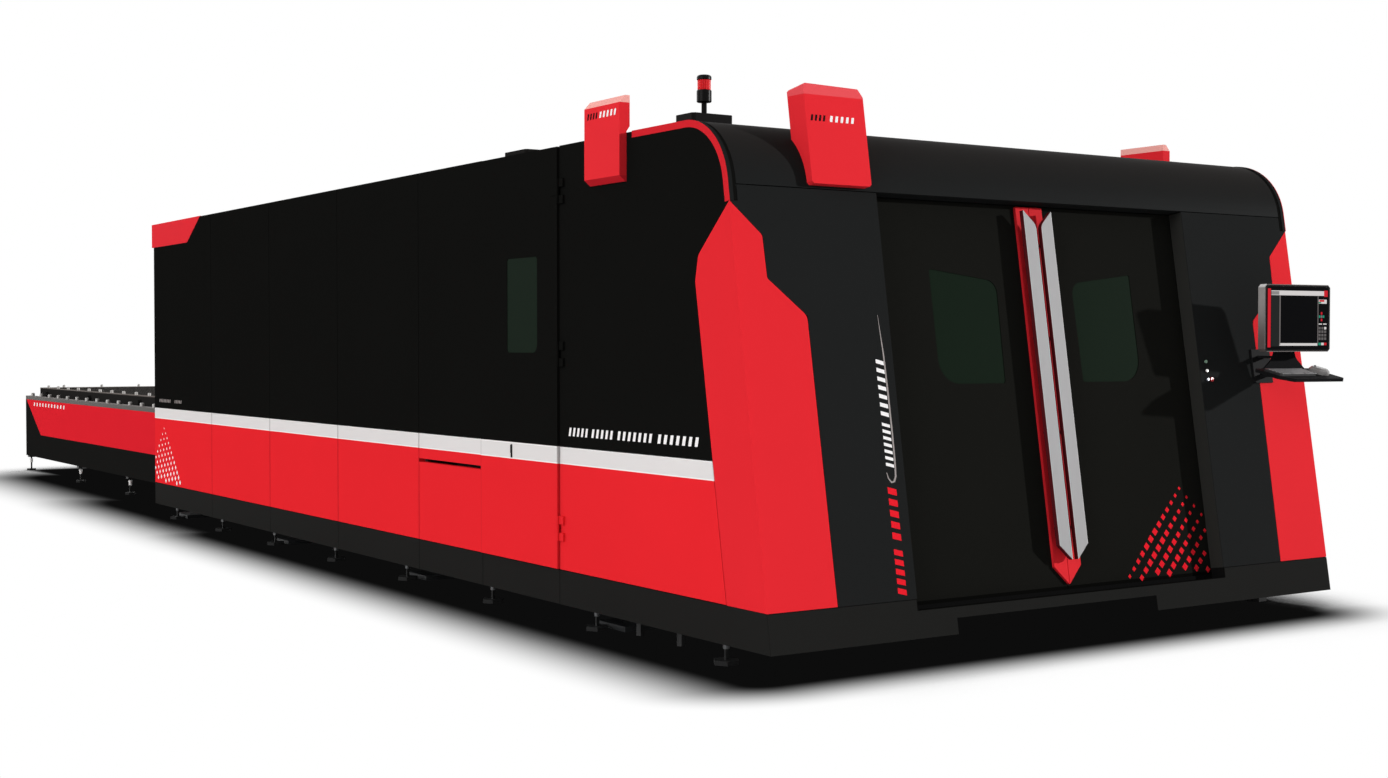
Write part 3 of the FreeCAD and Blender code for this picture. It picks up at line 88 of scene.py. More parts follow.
# shader maths as expressions
class Wire:
    def __init__(self, tree, socket):
        self.tree = tree
        self.socket = socket

    def node(self, kind, values=(), output=0, **settings):
        made = self.tree.nodes.new(kind)
        for name, setting in settings.items():
            setattr(made, name, setting)
        for key, value in dict(values).items():
            if isinstance(value, Wire):
                self.tree.links.new(value.socket, made.inputs[key])
            else:
                made.inputs[key].default_value = value
        return Wire(self.tree, made.outputs[output])

    def maths(self, operation, *values):
        return self.node("ShaderNodeMath", dict(enumerate(values)), operation=operation)

    def __add__(self, other):
        return self.maths("ADD", self, other)

    def __sub__(self, other):
        return self.maths("SUBTRACT", self, other)

    def __rsub__(self, other):
        return self.maths("SUBTRACT", other, self)

    def __mul__(self, other):
        return self.maths("MULTIPLY", self, other)

    def __truediv__(self, other):
        return self.maths("DIVIDE", self, other)

    def __rtruediv__(self, other):
        return self.maths("DIVIDE", other, self)

    def __gt__(self, other):
        return self.maths("GREATER_THAN", self, other)

    def __lt__(self, other):
        return self.maths("LESS_THAN", self, other)

    def __abs__(self):
        return self.maths("ABSOLUTE", self)

    __radd__ = __add__
    __rmul__ = __mul__

    def parts(self):
        # x, y and z of a vector
        split = self.node("ShaderNodeSeparateXYZ", {0: self})
        return [Wire(self.tree, out) for out in split.socket.node.outputs]

    def soft(self, low, high):
        return self.node("ShaderNodeMapRange", {0: self, 1: low, 2: high, 3: 0.0, 4: 1.0},
                         interpolation_type="SMOOTHSTEP")

    def between(self, low, high, blur=0.0005):
        return self.soft(low - blur, low + blur) * (1.0 - self.soft(high - blur, high + blur))

    def blend(self, first, second):
        return self.node("ShaderNodeMix", {0: self, 6: first, 7: second}, output=2, data_type="RGBA")


def tone(red, green, blue):
    channels = []
    for value in (red, green, blue):
        value /= 255.0
        channels.append(value / 12.92 if value <= 0.04045 else ((value + 0.055) / 1.055) ** 2.4)
    return (*channels, 1.0)


surface = {"cloudScale": 1.7, "cloudDetail": 3.0, "speckDetail": 2.0, "speckShare": 0.6, "marks": 0.06,
           "relief": 0.04, "bumpDepth": 0.0006}


def finish(name, colour, rough=0.45, metal=0.0, shine=0.5, coat=0.0, mottle=0.05, grain=700.0,
           brushed=None, pattern=None):
    # one paint, plastic or metal: colour, grain and gloss all come from its nodes
    made = bpy.data.materials.new(name)
    made.use_nodes = True
    tree = made.node_tree
    shader = tree.nodes["Principled BSDF"]
    start = Wire(tree, None)
    place = start.node("ShaderNodeTexCoord", output=3)
    spread = place
    if brushed:
        spread = start.node("ShaderNodeMapping", {0: place, 3: brushed})
    cloud = start.node("ShaderNodeTexNoise", {"Vector": place, "Scale": surface["cloudScale"],
                       "Detail": surface["cloudDetail"]})
    speck = start.node("ShaderNodeTexNoise", {"Vector": spread, "Scale": grain,
                       "Detail": surface["speckDetail"]})
    base = colour
    if pattern:
        base = pattern(place.parts(), colour)
    change = (cloud - 0.5) * mottle + (speck - 0.5) * (mottle * surface["speckShare"])
    shade = start.node("ShaderNodeHueSaturation", {"Color": base, "Value": change + 1.0})
    tree.links.new(shade.socket, shader.inputs["Base Color"])
    gloss = (cloud - 0.5) * surface["marks"] + (speck - 0.5) * surface["marks"] + rough
    tree.links.new(gloss.socket, shader.inputs["Roughness"])
    shader.inputs["Metallic"].default_value = metal
    shader.inputs["Specular IOR Level"].default_value = shine
    shader.inputs["Coat Weight"].default_value = coat
    bump = start.node("ShaderNodeBump", {"Strength": surface["relief"], "Distance": surface["bumpDepth"],
                      "Height": speck})
    tree.links.new(bump.socket, shader.inputs["Normal"])
    return made


# colours as the photograph shows them
paint = {
    # the front red is the side red painted darker, a painted shade against the stronger light on the front
    "red": tone(223, 38, 45),
    "redFrontShaded": tone(216, 38, 46),
    # deep red for the panel joints, and for painted shade on the handle backings
    "redJointAndShade": tone(150, 26, 34),
    # the front black is the side black painted lighter, a painted sheen of the light on the front
    "black": tone(17, 17, 16),
    "blackFrontSheen": tone(29, 30, 30),
    "blackDoor": tone(23, 23, 21),
    "skirt": tone(30, 30, 29),
    "band": tone(215, 213, 212),
    "grip": tone(154, 153, 154),
    "gripHighlight": tone(188, 188, 188),
    "rail": tone(78, 75, 72),
}


# patterns: where one colour of a piece gives way to another, as (from, to) in metres
sideBand = {"blur": 0.0006, "rim": 0.006, "rimBlur": 0.002, "rimShare": 0.7, "white": tone(238, 238, 237),
            "seamReach": 0.009, "seamBlur": 0.006, "seamTone": tone(120, 120, 120), "seamOnWhite": 0.35,
            "seamOnRed": 0.25}


def bandPattern(axes, colour):
    # red below, white band, black above; a thin darker line where two panels meet
    low, high = housing["bandLow"], housing["bandHigh"]
    band = axes[2].between(low, high, sideBand["blur"])
    joints = None
    for seam in housing["seams"]:
        left, right = alongBed(seam) - sideBand["seamReach"], alongBed(seam) + sideBand["seamReach"]
        near = axes[1].between(left, right, sideBand["seamBlur"])
        joints = near if joints is None else joints + near
    rim = 1.0 - axes[2].between(low + sideBand["rim"], high - sideBand["rim"], sideBand["rimBlur"])
    white = (rim * sideBand["rimShare"]).blend(paint["band"], sideBand["white"])
    toned = (joints * sideBand["seamOnWhite"]).blend(white, sideBand["seamTone"])
    lower = (joints * sideBand["seamOnRed"]).blend(colour, paint["redJointAndShade"])
    top = (axes[2] > high).blend(lower, paint["black"])
    return band.blend(top, toned)


def depthOf(axes):
    # distance behind the leaning front
    return (axes[1] - alongBed(0.0)) * math.cos(lean) - (axes[2] - housing["footLine"]) * math.sin(lean)


grip = {"inner": (0.0180, 0.0205), "outer": (0.0875, 0.0900), "blur": 0.0008, "fold": (0.0165, 0.0185),
        "foldShade": tone(84, 22, 28)}


def gripPattern(axes, colour):
    # painted highlight on the strips' edges, and painted shade with a painted reflection of the red behind
    # them on their folded sides
    across = abs(axes[0])
    edge = across.between(*grip["inner"], grip["blur"]) + across.between(*grip["outer"], grip["blur"])
    face = edge.blend(colour, paint["gripHighlight"])
    return depthOf(axes).soft(*grip["fold"]).blend(face, grip["foldShade"])


reveal = {"inner": (0.9874, 0.9878), "depth": (0.002, 0.004), "tone": tone(42, 42, 40)}


# painted light: the reveal's inner faces are painted lighter than the front black, to lift the shade in the
# recess
def revealPattern(axes, colour):
    inner = 1.0 - abs(axes[0]).soft(*reveal["inner"])
    return (inner * depthOf(axes).soft(*reveal["depth"])).blend(colour, reveal["tone"])


leafFoot = {"height": (0.2395, 0.2415), "tone": tone(11, 11, 10)}


def leafPattern(axes, colour):
    # painted shade: the foot of each leaf is painted dark where it stands in the dark of the sill
    return axes[2].soft(*leafFoot["height"]).blend(leafFoot["tone"], colour)


sillLip = {"inner": (0.9880, 0.9900), "rise": (0.1180, 0.1188), "tone": tone(9, 9, 8)}


def skirtPattern(axes, colour):
    # painted shade: the sill's lip between the door posts is painted dark
    inner = 1.0 - abs(axes[0]).soft(*sillLip["inner"])
    up = (axes[1] - alongBed(0.0)) * math.sin(lean) + (axes[2] - housing["footLine"]) * math.cos(lean)
    return (inner * up.soft(*sillLip["rise"])).blend(colour, sillLip["tone"])


plinth = {"height": (0.168, 0.170), "tone": tone(12, 12, 12)}


def cabinetPattern(axes, colour):
    # painted shade: feet and plinth painted black, as dark as the shade low under the machine
    return axes[2].soft(*plinth["height"]).blend(plinth["tone"], colour)


backing = {"middle": (0.010, 0.024), "tip": (0.43, 0.50), "head": (1.90, 1.96), "outerShare": 0.45,
           "middleShare": 0.4, "headShare": 0.7}


def backingPattern(axes, colour):
    # painted shade: darker except at its lower tip and its head, and darker still between the strips
    middle = 1.0 - abs(axes[0]).soft(*backing["middle"])
    tip = 1.0 - axes[2].soft(*backing["tip"])
    head = axes[2].soft(*backing["head"])
    deep = (middle * backing["middleShare"] + backing["outerShare"]) * (1.0 - tip)
    return (deep * (1.0 - head * backing["headShare"])).blend(colour, paint["redJointAndShade"])


palletEdge = {"below": 0.010, "full": 0.004, "tone": tone(112, 106, 102), "upper": 0.905, "lower": 0.670}


def palletPattern(level):
    # paler along the top edge of the frame
    def pattern(axes, colour):
        toned = axes[2].soft(level - palletEdge["below"], level - palletEdge["full"])
        return toned.blend(colour, palletEdge["tone"])
    return pattern


tableRail = {"height": (0.8150, 0.8175), "tone": tone(118, 112, 110)}


def railPattern(axes, colour):
    return axes[2].soft(*tableRail["height"]).blend(colour, tableRail["tone"])


lampLens = {"height": (2.5600, 2.6070), "blur": 0.0004, "black": tone(15, 15, 15)}


def lampPattern(axes, colour):
    # black ring, red lens, black cap
    return axes[2].between(*lampLens["height"], lampLens["blur"]).blend(lampLens["black"], colour)


cowl = {"height": (2.03, 2.32), "top": tone(33, 31, 30)}


# painted light: the cowl is painted lighter towards its top, where the light falls on it
def cowlPattern(axes, colour):
    return axes[2].soft(*cowl["height"]).blend(colour, cowl["top"])


trims = {"front": (-5.60, -5.50), "inner": (1.7766, 1.7774), "frontRed": tone(199, 34, 43),
         "innerTone": tone(27, 28, 28)}


def trimPattern(axes, colour):
    # the front strips are red on their outer face only, in a darker red than the rear caps: a painted shade
    front = 1.0 - axes[1].soft(*trims["front"])
    inner = 1.0 - abs(axes[0]).soft(*trims["inner"])
    return (front * inner).blend(front.blend(colour, trims["frontRed"]), trims["innerTone"])


banners = {"side": (1.70, 1.72), "sideTop": (2.434, 2.438), "frontTop": (2.4555, 2.4575),
           "fold": (2.124, 2.128), "frontHighlight": tone(222, 78, 84), "sideHighlight": tone(240, 168, 160),
           "foldShade": tone(198, 33, 43)}


def bannerPattern(axes, colour):
    # painted highlight on the slanted top edges, painted shade on the lower folds of the side banners
    side = abs(axes[0]).soft(*banners["side"])
    high = side.blend(axes[2].soft(*banners["sideTop"]), axes[2].soft(*banners["frontTop"]))
    highlight = side.blend(banners["frontHighlight"], banners["sideHighlight"])
    low = side * (1.0 - axes[2].soft(*banners["fold"]))
    return low.blend(high.blend(colour, highlight), banners["foldShade"])


monitorCase = {"face": (-0.1486, -0.1480), "rim": (0.2110, 0.2125), "bezelHeight": (1.3285, 1.6565),
               "shade": (1.36, 1.60), "top": (1.640, 1.652), "low": tone(92, 84, 82),
               "silver": tone(150, 146, 144), "topHighlight": tone(222, 220, 219), "bezel": tone(9, 9, 9),
               "rimHighlight": tone(104, 98, 97)}


def monitorPattern(axes, colour):
    # black bezel with a painted highlight on its thin rim, on a silver case painted darker towards its bottom
    # and with a painted highlight along its top
    across, along = axes[0] - console["x"], axes[1] - alongBed(console["y"])
    run, rise = math.cos(console["turn"]), math.sin(console["turn"])
    left = across * run + along * rise
    deep = along * run - across * rise
    face = 1.0 - deep.soft(*monitorCase["face"])
    rim = abs(left).soft(*monitorCase["rim"])
    rim = rim.maths("MAXIMUM", 1.0 - axes[2].between(*monitorCase["bezelHeight"]), rim)
    # painted shade low on the case, painted highlight at its top
    case = axes[2].soft(*monitorCase["shade"]).blend(monitorCase["low"], monitorCase["silver"])
    topHighlight = axes[2].soft(*monitorCase["top"]).blend(case, monitorCase["topHighlight"])
    return face.blend(topHighlight, rim.blend(monitorCase["bezel"], monitorCase["rimHighlight"]))


steel = tone(176, 178, 181)
dullBlack = {"rough": 0.6, "shine": 0.0}
looks = {
    "upper_side_panels": finish("sideBlack", paint["black"], mottle=0.12, **dullBlack),
    "lower_side_panels": finish("sideRed", paint["red"], rough=0.6, shine=0.0, pattern=bandPattern),
    "skirt_panels": finish("skirtBlack", paint["skirt"], rough=0.6, shine=0.002, mottle=0.12,
                           pattern=skirtPattern),
    "front_panels": finish("frontBlack", paint["blackFrontSheen"], rough=0.6, shine=0.002, mottle=0.08,
                           pattern=revealPattern),
    "front_cowl": finish("cowlBlack", tone(27, 28, 28), rough=0.5, shine=0.005, pattern=cowlPattern),
    "corner_covers": finish("coverRed", paint["redFrontShaded"], rough=0.6, shine=0.006),
    "red_trims": finish("trimRed", tone(214, 38, 48), rough=0.6, shine=0.004, pattern=trimPattern),
    "roof_banners": finish("bannerRed", tone(217, 40, 48), rough=0.5, shine=0.006, pattern=bannerPattern),
    "roof_panels": finish("roofBlack", tone(28, 27, 26), rough=0.6, shine=0.003),
    "rear_gate": finish("gateGrey", tone(60, 62, 64), rough=0.45, shine=0.35),
    "housing_frame": finish("frameGrey", tone(44, 45, 47), rough=0.5, shine=0.1),
    "levelling_feet": finish("footSteel", tone(34, 34, 34), rough=0.4, metal=0.2, shine=0.1, grain=400.0),
    "door_tracks": finish("trackBlack", tone(12, 12, 12), rough=0.6, shine=0.01),
    "side_door_pull": finish("pullBlack", tone(14, 14, 14), rough=0.45, shine=0.05),
    "left_door_leaf": finish("doorBlack", paint["blackDoor"], mottle=0.1, pattern=leafPattern, **dullBlack),
    "left_handle_backing": finish("backingRed", paint["redFrontShaded"], rough=0.45, shine=0.008,
                                  pattern=backingPattern),
    "left_door_handle": finish("gripGrey", paint["grip"], rough=0.45, shine=0.05, brushed=(900.0, 900.0, 6.0),
                               grain=1.0, pattern=gripPattern),
    "left_door_window": finish("laserGlass", tone(21, 31, 23), rough=0.35, shine=0.001),
    "side_door_window": finish("sideGlass", tone(25, 34, 27), rough=0.35, shine=0.001),
    "bed_frame": finish("bedGrey", tone(58, 61, 64), rough=0.5, shine=0.2),
    "bed_foot_plates": finish("plateSteel", tone(46, 47, 48), rough=0.45, metal=0.3, shine=0.2),
    "pallet_rails": finish("railSteel", steel, rough=0.25, metal=1.0, brushed=(4.0, 300.0, 300.0), grain=1.0),
    "gantry_rails": finish("guideSteel", steel, rough=0.18, metal=1.0, brushed=(300.0, 2.0, 300.0),
                           grain=1.0),
    "fume_duct": finish("ductZinc", tone(150, 154, 157), rough=0.42, metal=0.75, grain=45.0, mottle=0.25),
    "electrical_cabinet": finish("cabinetGrey", tone(196, 198, 196), rough=0.5, shine=0.4, grain=900.0,
                                 pattern=cabinetPattern),
    "gantry_beam": finish("gantryGrey", tone(205, 207, 208), rough=0.4, shine=0.45),
    "gantry_trucks": finish("truckGrey", tone(70, 72, 74), rough=0.45, shine=0.4),
    "cutting_head": finish("headBlack", tone(44, 46, 50), rough=0.32, metal=0.5, shine=0.5),
    "upper_pallet_frame": finish("palletGrey", tone(36, 35, 34), pattern=palletPattern(palletEdge["upper"]),
                                 **dullBlack),
    "lower_pallet_frame": finish("palletLow", tone(36, 35, 34), pattern=palletPattern(palletEdge["lower"]),
                                 **dullBlack),
    "upper_pallet_slats": finish("slatSteel", tone(44, 42, 40), rough=0.6, metal=0.2, shine=0.1, grain=90.0,
                                 mottle=0.35),
    "table_frame": finish("tableBlack", tone(24, 24, 23), **dullBlack),
    "table_edge_rails": finish("edgeRail", paint["rail"], rough=0.5, shine=0.03, pattern=railPattern),
    "table_side_panels": finish("tableRed", tone(212, 34, 45), rough=0.6, shine=0.0),
    "exchange_drive": finish("driveGrey", tone(98, 104, 110), rough=0.45, shine=0.4),
    "console_bracket": finish("consoleBlack", tone(22, 22, 23), rough=0.5, shine=0.01),
    "keyboard": finish("keyboardGrey", tone(40, 40, 41), rough=0.5, shine=0.4),
    "mouse": finish("mouseGrey", tone(128, 126, 125), rough=0.25, shine=0.5, coat=0.2),
    "monitor_housing": finish("monitorSilver", tone(150, 146, 144), rough=0.45, shine=0.03,
                              pattern=monitorPattern),
    "monitor_screen": finish("screenGlass", tone(8, 8, 9), rough=0.3, shine=0.02),
    "stack_light_base": finish("lampBase", tone(26, 25, 25), rough=0.5, shine=0.01),
    "stack_light_lamp": finish("lampRed", tone(214, 32, 38), rough=0.3, shine=0.05, pattern=lampPattern),
    "scrap_bin": finish("binSteel", tone(128, 130, 132), rough=0.45, metal=0.7, grain=60.0, mottle=0.2),
    "start_button": finish("buttonGreen", tone(120, 150, 130), rough=0.3),
    "pause_button": finish("buttonGrey", tone(190, 188, 186), rough=0.3),
    "reset_button": finish("buttonBlue", tone(140, 146, 160), rough=0.3),
    "emergency_stop": finish("buttonRed", tone(190, 34, 44), rough=0.3, coat=0.1),
}
sameFinish = {
    "side_door_leaf": "lower_side_panels", "drawer_front": "lower_side_panels",
    "side_door_hinges": "lower_side_panels", "rear_wall": "upper_side_panels",
    "right_door_leaf": "left_door_leaf", "right_door_handle": "left_door_handle",
    "right_handle_backing": "left_handle_backing", "right_door_window": "left_door_window",
    "laser_source": "electrical_cabinet", "cross_carriage": "gantry_trucks", "head_slide": "gantry_rails",
    "lower_pallet_slats": "upper_pallet_slats", "console_arm": "console_bracket",
}
for name, like in sameFinish.items():
    looks[name] = looks[like]
for name, material in looks.items():
    mesh = nodes[name].data
    mesh.materials.clear()
    mesh.materials.append(material)
print("materials on", len(looks), "of", len(nodes), "nodes")


def meshObject(name, points, faces, material):
    mesh = bpy.data.meshes.new(name)
    mesh.from_pydata([tuple(p) for p in points], [], faces)
    mesh.materials.append(material)
    mesh.update()
    obj = bpy.data.objects.new(name, mesh)
    bpy.context.scene.collection.objects.link(obj)
    return obj


# repeats: a tree that puts one small form on every listed point
def repeat(name, spots, form, sizes, material, body):
    mesh = bpy.data.meshes.new(name + "Spots")
    mesh.from_pydata([tuple(place) for place, _, _ in spots], [], [])
    for label, index in (("spotScale", 1), ("spotTurn", 2)):
        layer = mesh.attributes.new(label, "FLOAT_VECTOR", "POINT")
        layer.data.foreach_set("vector", [value for spot in spots for value in spot[index]])
    carrier = bpy.data.objects.new(name + "Carrier", mesh)
    bpy.context.scene.collection.objects.link(carrier)

    tree = bpy.data.node_groups.new(name + "Tree", "GeometryNodeTree")
    tree.interface.new_socket(name="Geometry", in_out="INPUT", socket_type="NodeSocketGeometry")
    sockets = {}
    for label in sizes:
        sockets[label] = tree.interface.new_socket(name=label, in_out="INPUT", socket_type="NodeSocketFloat")
    tree.interface.new_socket(name="Geometry", in_out="OUTPUT", socket_type="NodeSocketGeometry")
    entry = tree.nodes.new("NodeGroupInput")
    leave = tree.nodes.new("NodeGroupOutput")
    start = Wire(tree, None)
    given = {label: Wire(tree, entry.outputs[label]) for label in sizes}
    size = start.node("GeometryNodeInputNamedAttribute", {"Name": "spotScale"}, data_type="FLOAT_VECTOR")
    angle = start.node("GeometryNodeInputNamedAttribute", {"Name": "spotTurn"}, data_type="FLOAT_VECTOR")
    turn = start.node("FunctionNodeEulerToRotation", {0: angle})
    spotPoints = start.node("GeometryNodeMeshToPoints", {"Mesh": Wire(tree, entry.outputs["Geometry"])})
    placed = start.node("GeometryNodeInstanceOnPoints", {
        "Points": spotPoints, "Instance": form(start, given), "Rotation": turn, "Scale": size})
    solid = start.node("GeometryNodeRealizeInstances", {"Geometry": placed})
    painted = start.node("GeometryNodeSetMaterial", {"Geometry": solid, "Material": material})
    tree.links.new(painted.socket, leave.inputs[0])

    modifier = carrier.modifiers.new("repeat", "NODES")
    modifier.node_group = tree
    for label, value in sizes.items():
        modifier[sockets[label].identifier] = value
    graph = bpy.context.evaluated_depsgraph_get()
    plain = bpy.data.meshes.new_from_object(carrier.evaluated_get(graph))
    carrier.modifiers.clear()
    bpy.data.objects.remove(carrier)
    for spare in [a.name for a in plain.attributes if a.name.startswith("spot")]:
        plain.attributes.remove(plain.attributes[spare])
    obj = bpy.data.objects.new(name, plain)
    bpy.context.scene.collection.objects.link(obj)
    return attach(obj, body)


def drum(start, sides, radius, height, rise=0.0):
    # a short upright prism whose foot stands at the rise
    made = start.node("GeometryNodeMeshCylinder", {
        "Vertices": sides, "Radius": radius, "Depth": height}, fill_type="NGON")
    half = height * 0.5
    lift = start.node("ShaderNodeCombineXYZ", {"Z": half + rise})
    return start.node("GeometryNodeTransform", {"Geometry": made, "Translation": lift})


def paintDiamond(start, given):
    return drum(start, 4, given["Radius"], given["Thickness"])


def slantBar(start, given):
    # an upright stroke leaning to the right
    bar = start.node("GeometryNodeMeshCube", {
        "Size": start.node("ShaderNodeCombineXYZ", {"X": given["Width"], "Y": given["Height"],
                                                    "Z": given["Thickness"]})})
    y = start.node("GeometryNodeInputPosition").parts()[1]
    shift = start.node("ShaderNodeCombineXYZ", {
        "X": y * given["Slant"], "Y": given["Height"] * 0.5, "Z": given["Thickness"] * 0.5})
    return start.node("GeometryNodeSetPosition", {"Geometry": bar, "Offset": shift})


def keyCap(start, given):
    # a cap that narrows towards its top
    cap = start.node("GeometryNodeMeshCone", {
        "Vertices": 4, "Radius Top": 0.60, "Radius Bottom": 0.70, "Depth": 1.0}, fill_type="NGON")
    square = start.node("FunctionNodeEulerToRotation", {0: (0.0, 0.0, math.pi / 4)})
    size = start.node("ShaderNodeCombineXYZ", {"X": given["Width"], "Y": given["Length"],
                                               "Z": given["Height"]})
    turned = start.node("GeometryNodeTransform", {"Geometry": cap, "Rotation": square})
    return start.node("GeometryNodeTransform", {"Geometry": turned, "Scale": size})


def spotTurn(turn):
    return tuple(turn.to_euler())


evenScale = (1.0, 1.0, 1.0)


def standing(places, turn=facing["up"]):
    return [(place, evenScale, spotTurn(turn)) for place in places]


whitePaint = finish("markWhite", tone(236, 234, 234), rough=0.6, shine=0.0)
redPaint = finish("markRed", tone(222, 32, 44), rough=0.6, shine=0.0)
darkPaint = finish("markDark", tone(24, 22, 23), rough=0.6, shine=0.0)
greyPaint = finish("markGrey", tone(150, 143, 141), rough=0.6, shine=0.0)

# halftone of diamonds: a lattice on the diagonal whose diamonds grow away from their top corner
# top: the first diamond; down and across: one step along the lattice; size: at the top, per step and per row
doorHalftone = {"top": (0.829, 0.6731), "down": (0.0345, 0.0336), "across": (0.0460, 0.0455), "rows": 7,
                "steps": 14, "right": 0.990, "low": 0.258, "left": 0.410, "size": (0.46, 0.09),
                "leftSize": (0.52, 3.2), "largest": 0.0205}
sideHalftone = {"top": (8.132, 0.707), "down": (0.0360, 0.0365), "across": (0.0450, 0.0475), "rows": 7,
                "steps": 13, "rear": 8.372, "low": 0.290, "size": (0.40, 0.060), "largest": 0.0190}
paintThickness = 0.0008


def latticePoint(sheet, row, step):
    return [sheet["top"][0] + row * sheet["across"][0] - step * sheet["down"][0],
            sheet["top"][1] - row * sheet["across"][1] - step * sheet["down"][1]]


def doorSpots(sheet):
    spots, turn = [], spotTurn(facing["leaning"])
    for row in range(sheet["rows"]):
        for step in range(sheet["steps"]):
            x, height = latticePoint(sheet, row, step)
            nearLeft = sheet["leftSize"][0] + (x - sheet["left"]) * sheet["leftSize"][1]
            size = min(1.0, sheet["size"][0] + sheet["size"][1] * step, nearLeft)
            if height > sheet["low"] and x < sheet["right"]:
                spots.append((onFront(x, height, housing["recess"]), (size, size, 1.0), turn))
    return spots


def sideSpots(sheet):
    spots, turn = [], spotTurn(facing["left"])
    for row in range(sheet["rows"]):
        for step in range(sheet["steps"]):
            y, z = latticePoint(sheet, row, step)
            size = min(1.0, sheet["size"][0] + sheet["size"][1] * (step + row))
            if z > sheet["low"] and y < sheet["rear"]:
                spots.append((Vector((-housing["half"], alongBed(y), z)), (size, size, 1.0), turn))
    return spots


repeat("doorHalftone", doorSpots(doorHalftone), paintDiamond,
       {"Radius": doorHalftone["largest"], "Thickness": paintThickness}, redPaint, "right_door")
repeat("sideHalftone", sideSpots(sideHalftone), paintDiamond,
       {"Radius": sideHalftone["largest"], "Thickness": paintThickness}, whitePaint, "machine")

# rows of slanted bars that stand where the lettering was
upright = facing["leaning"] @ Matrix.Rotation(math.pi / 2, 3, "Z")
bars = {"start": 0.4, "share": 0.46, "slant": 0.25, "frontX": -1.040, "panel": -1.778, "banner": -1.816,
        "bannerFace": -0.038, "table": -1.413}
barShares = {"frontRedLow": 0.58, "frontRedHigh": 0.58, "tableBars": 0.34}


def upFront(low, high):
    return onFront(bars["frontX"], low), onFront(bars["frontX"], high)


def alongSide(x, z, start, end):
    return Vector((x, alongBed(start), z)), Vector((x, alongBed(end), z))


def acrossBanner(left, right, height):
    return onFront(left, height, bars["bannerFace"]), onFront(right, height, bars["bannerFace"])


# each row: its two ends, number of bars, bar height, which way it faces, colour
barRows = {
    "frontRedLow": (upFront(0.290, 0.497), 5, 0.047, upright, redPaint),
    "frontRedHigh": (upFront(0.523, 0.765), 5, 0.047, upright, redPaint),
    "frontWhiteLow": (upFront(0.838, 1.040), 7, 0.043, upright, whitePaint),
    "frontWhiteHigh": (upFront(1.056, 1.320), 7, 0.043, upright, whitePaint),
    "sideFirst": (alongSide(bars["panel"], 0.921, 1.656, 1.460), 5, 0.041, facing["left"], whitePaint),
    "sideSecond": (alongSide(bars["panel"], 0.921, 1.440, 1.229), 5, 0.041, facing["left"], whitePaint),
    "sideThird": (alongSide(bars["panel"], 0.921, 1.204, 0.888), 7, 0.041, facing["left"], whitePaint),
    "sideFourth": (alongSide(bars["panel"], 0.921, 0.860, 0.512), 7, 0.041, facing["left"], whitePaint),
    "sideBannerDark": (alongSide(bars["banner"], 2.402, 1.408, 1.307), 4, 0.028, facing["left"], darkPaint),
    "sideBannerLight": (alongSide(bars["banner"], 2.402, 1.298, 1.137), 5, 0.028, facing["left"], whitePaint),
    "frontBannerDark": (acrossBanner(-1.340, -1.252, 2.3436), 4, 0.027, facing["leaning"], darkPaint),
    "frontBannerLight": (acrossBanner(-1.238, -1.092, 2.3436), 5, 0.027, facing["leaning"], whitePaint),
    "rearLabelFirst": (alongSide(bars["panel"], 0.914, 8.253, 7.955), 8, 0.024, facing["left"], greyPaint),
    "rearLabelSecond": (alongSide(bars["panel"], 0.914, 7.863, 7.677), 5, 0.024, facing["left"], greyPaint),
    "tableBars": (alongSide(bars["table"], 0.716, 14.060, 12.680), 11, 0.036, facing["left"], whitePaint),
}
for name, ((first, last), count, height, turn, material) in barRows.items():
    pitch = (last - first) / count
    places = [first + pitch * (i + bars["start"]) for i in range(count)]
    width = pitch.length * barShares.get(name, bars["share"])
    repeat(name, standing(places, turn), slantBar, {"Width": width, "Height": height,
           "Thickness": paintThickness, "Slant": bars["slant"]}, material, "machine")

# thin tapering stripe that runs beside the upright bars and hooks under them: x, height, width
swoosh = [(-1.084, 0.818, 0.003), (-1.077, 0.793, 0.006), (-1.062, 0.775, 0.008), (-1.046, 0.779, 0.009),
          (-1.036, 0.800, 0.009), (-1.032, 0.870, 0.008), (-1.031, 0.983, 0.008), (-1.032, 1.157, 0.008),
          (-1.036, 1.332, 0.007), (-1.042, 1.420, 0.004), (-1.047, 1.505, 0.001)]


def ribbon(name, path, thick, material, body):
    points, faces = [], []
    for i, (x, height, wide) in enumerate(path):
        before, after = path[max(i - 1, 0)], path[min(i + 1, len(path) - 1)]
        aim = Vector((after[0] - before[0], after[1] - before[1])).normalized()
        for side in (1.0, -1.0):
            for depth in (0.0, -thick):
                points.append(onFront(x - side * aim.y * wide / 2, height + side * aim.x * wide / 2, depth))
    for i in range(len(path) - 1):
        a, b = 4 * i, 4 * i + 4
        faces += [(a + 1, a + 3, b + 3, b + 1), (a + 2, a, b, b + 2), (a + 3, a + 2, b + 2, b + 3),
                  (a, a + 1, b + 1, b)]
    last = 4 * len(path) - 4
    faces += [(0, 2, 3, 1), (last, last + 1, last + 3, last + 2)]
    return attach(meshObject(name, points, faces, material), body)


ribbon("frontSwoosh", swoosh, paintThickness, greyPaint, "machine")
print("painted marks done")

# fasteners, studs and nuts
screwSteel = finish("screwSteel", tone(96, 97, 98), rough=0.35, metal=0.8, grain=300.0)
brightSteel = finish("brightSteel", tone(172, 169, 166), rough=0.35, metal=0.25, shine=0.3, grain=300.0)


def rowOf(first, last, count):
    first, last = Vector(first), Vector(last)
    return [first.lerp(last, i / (count - 1)) for i in range(count)]


def joinedForms(start, *forms):
    joined = start.node("GeometryNodeJoinGeometry")
    for form in forms:
        start.tree.links.new(form.socket, joined.socket.node.inputs[0])
    return joined


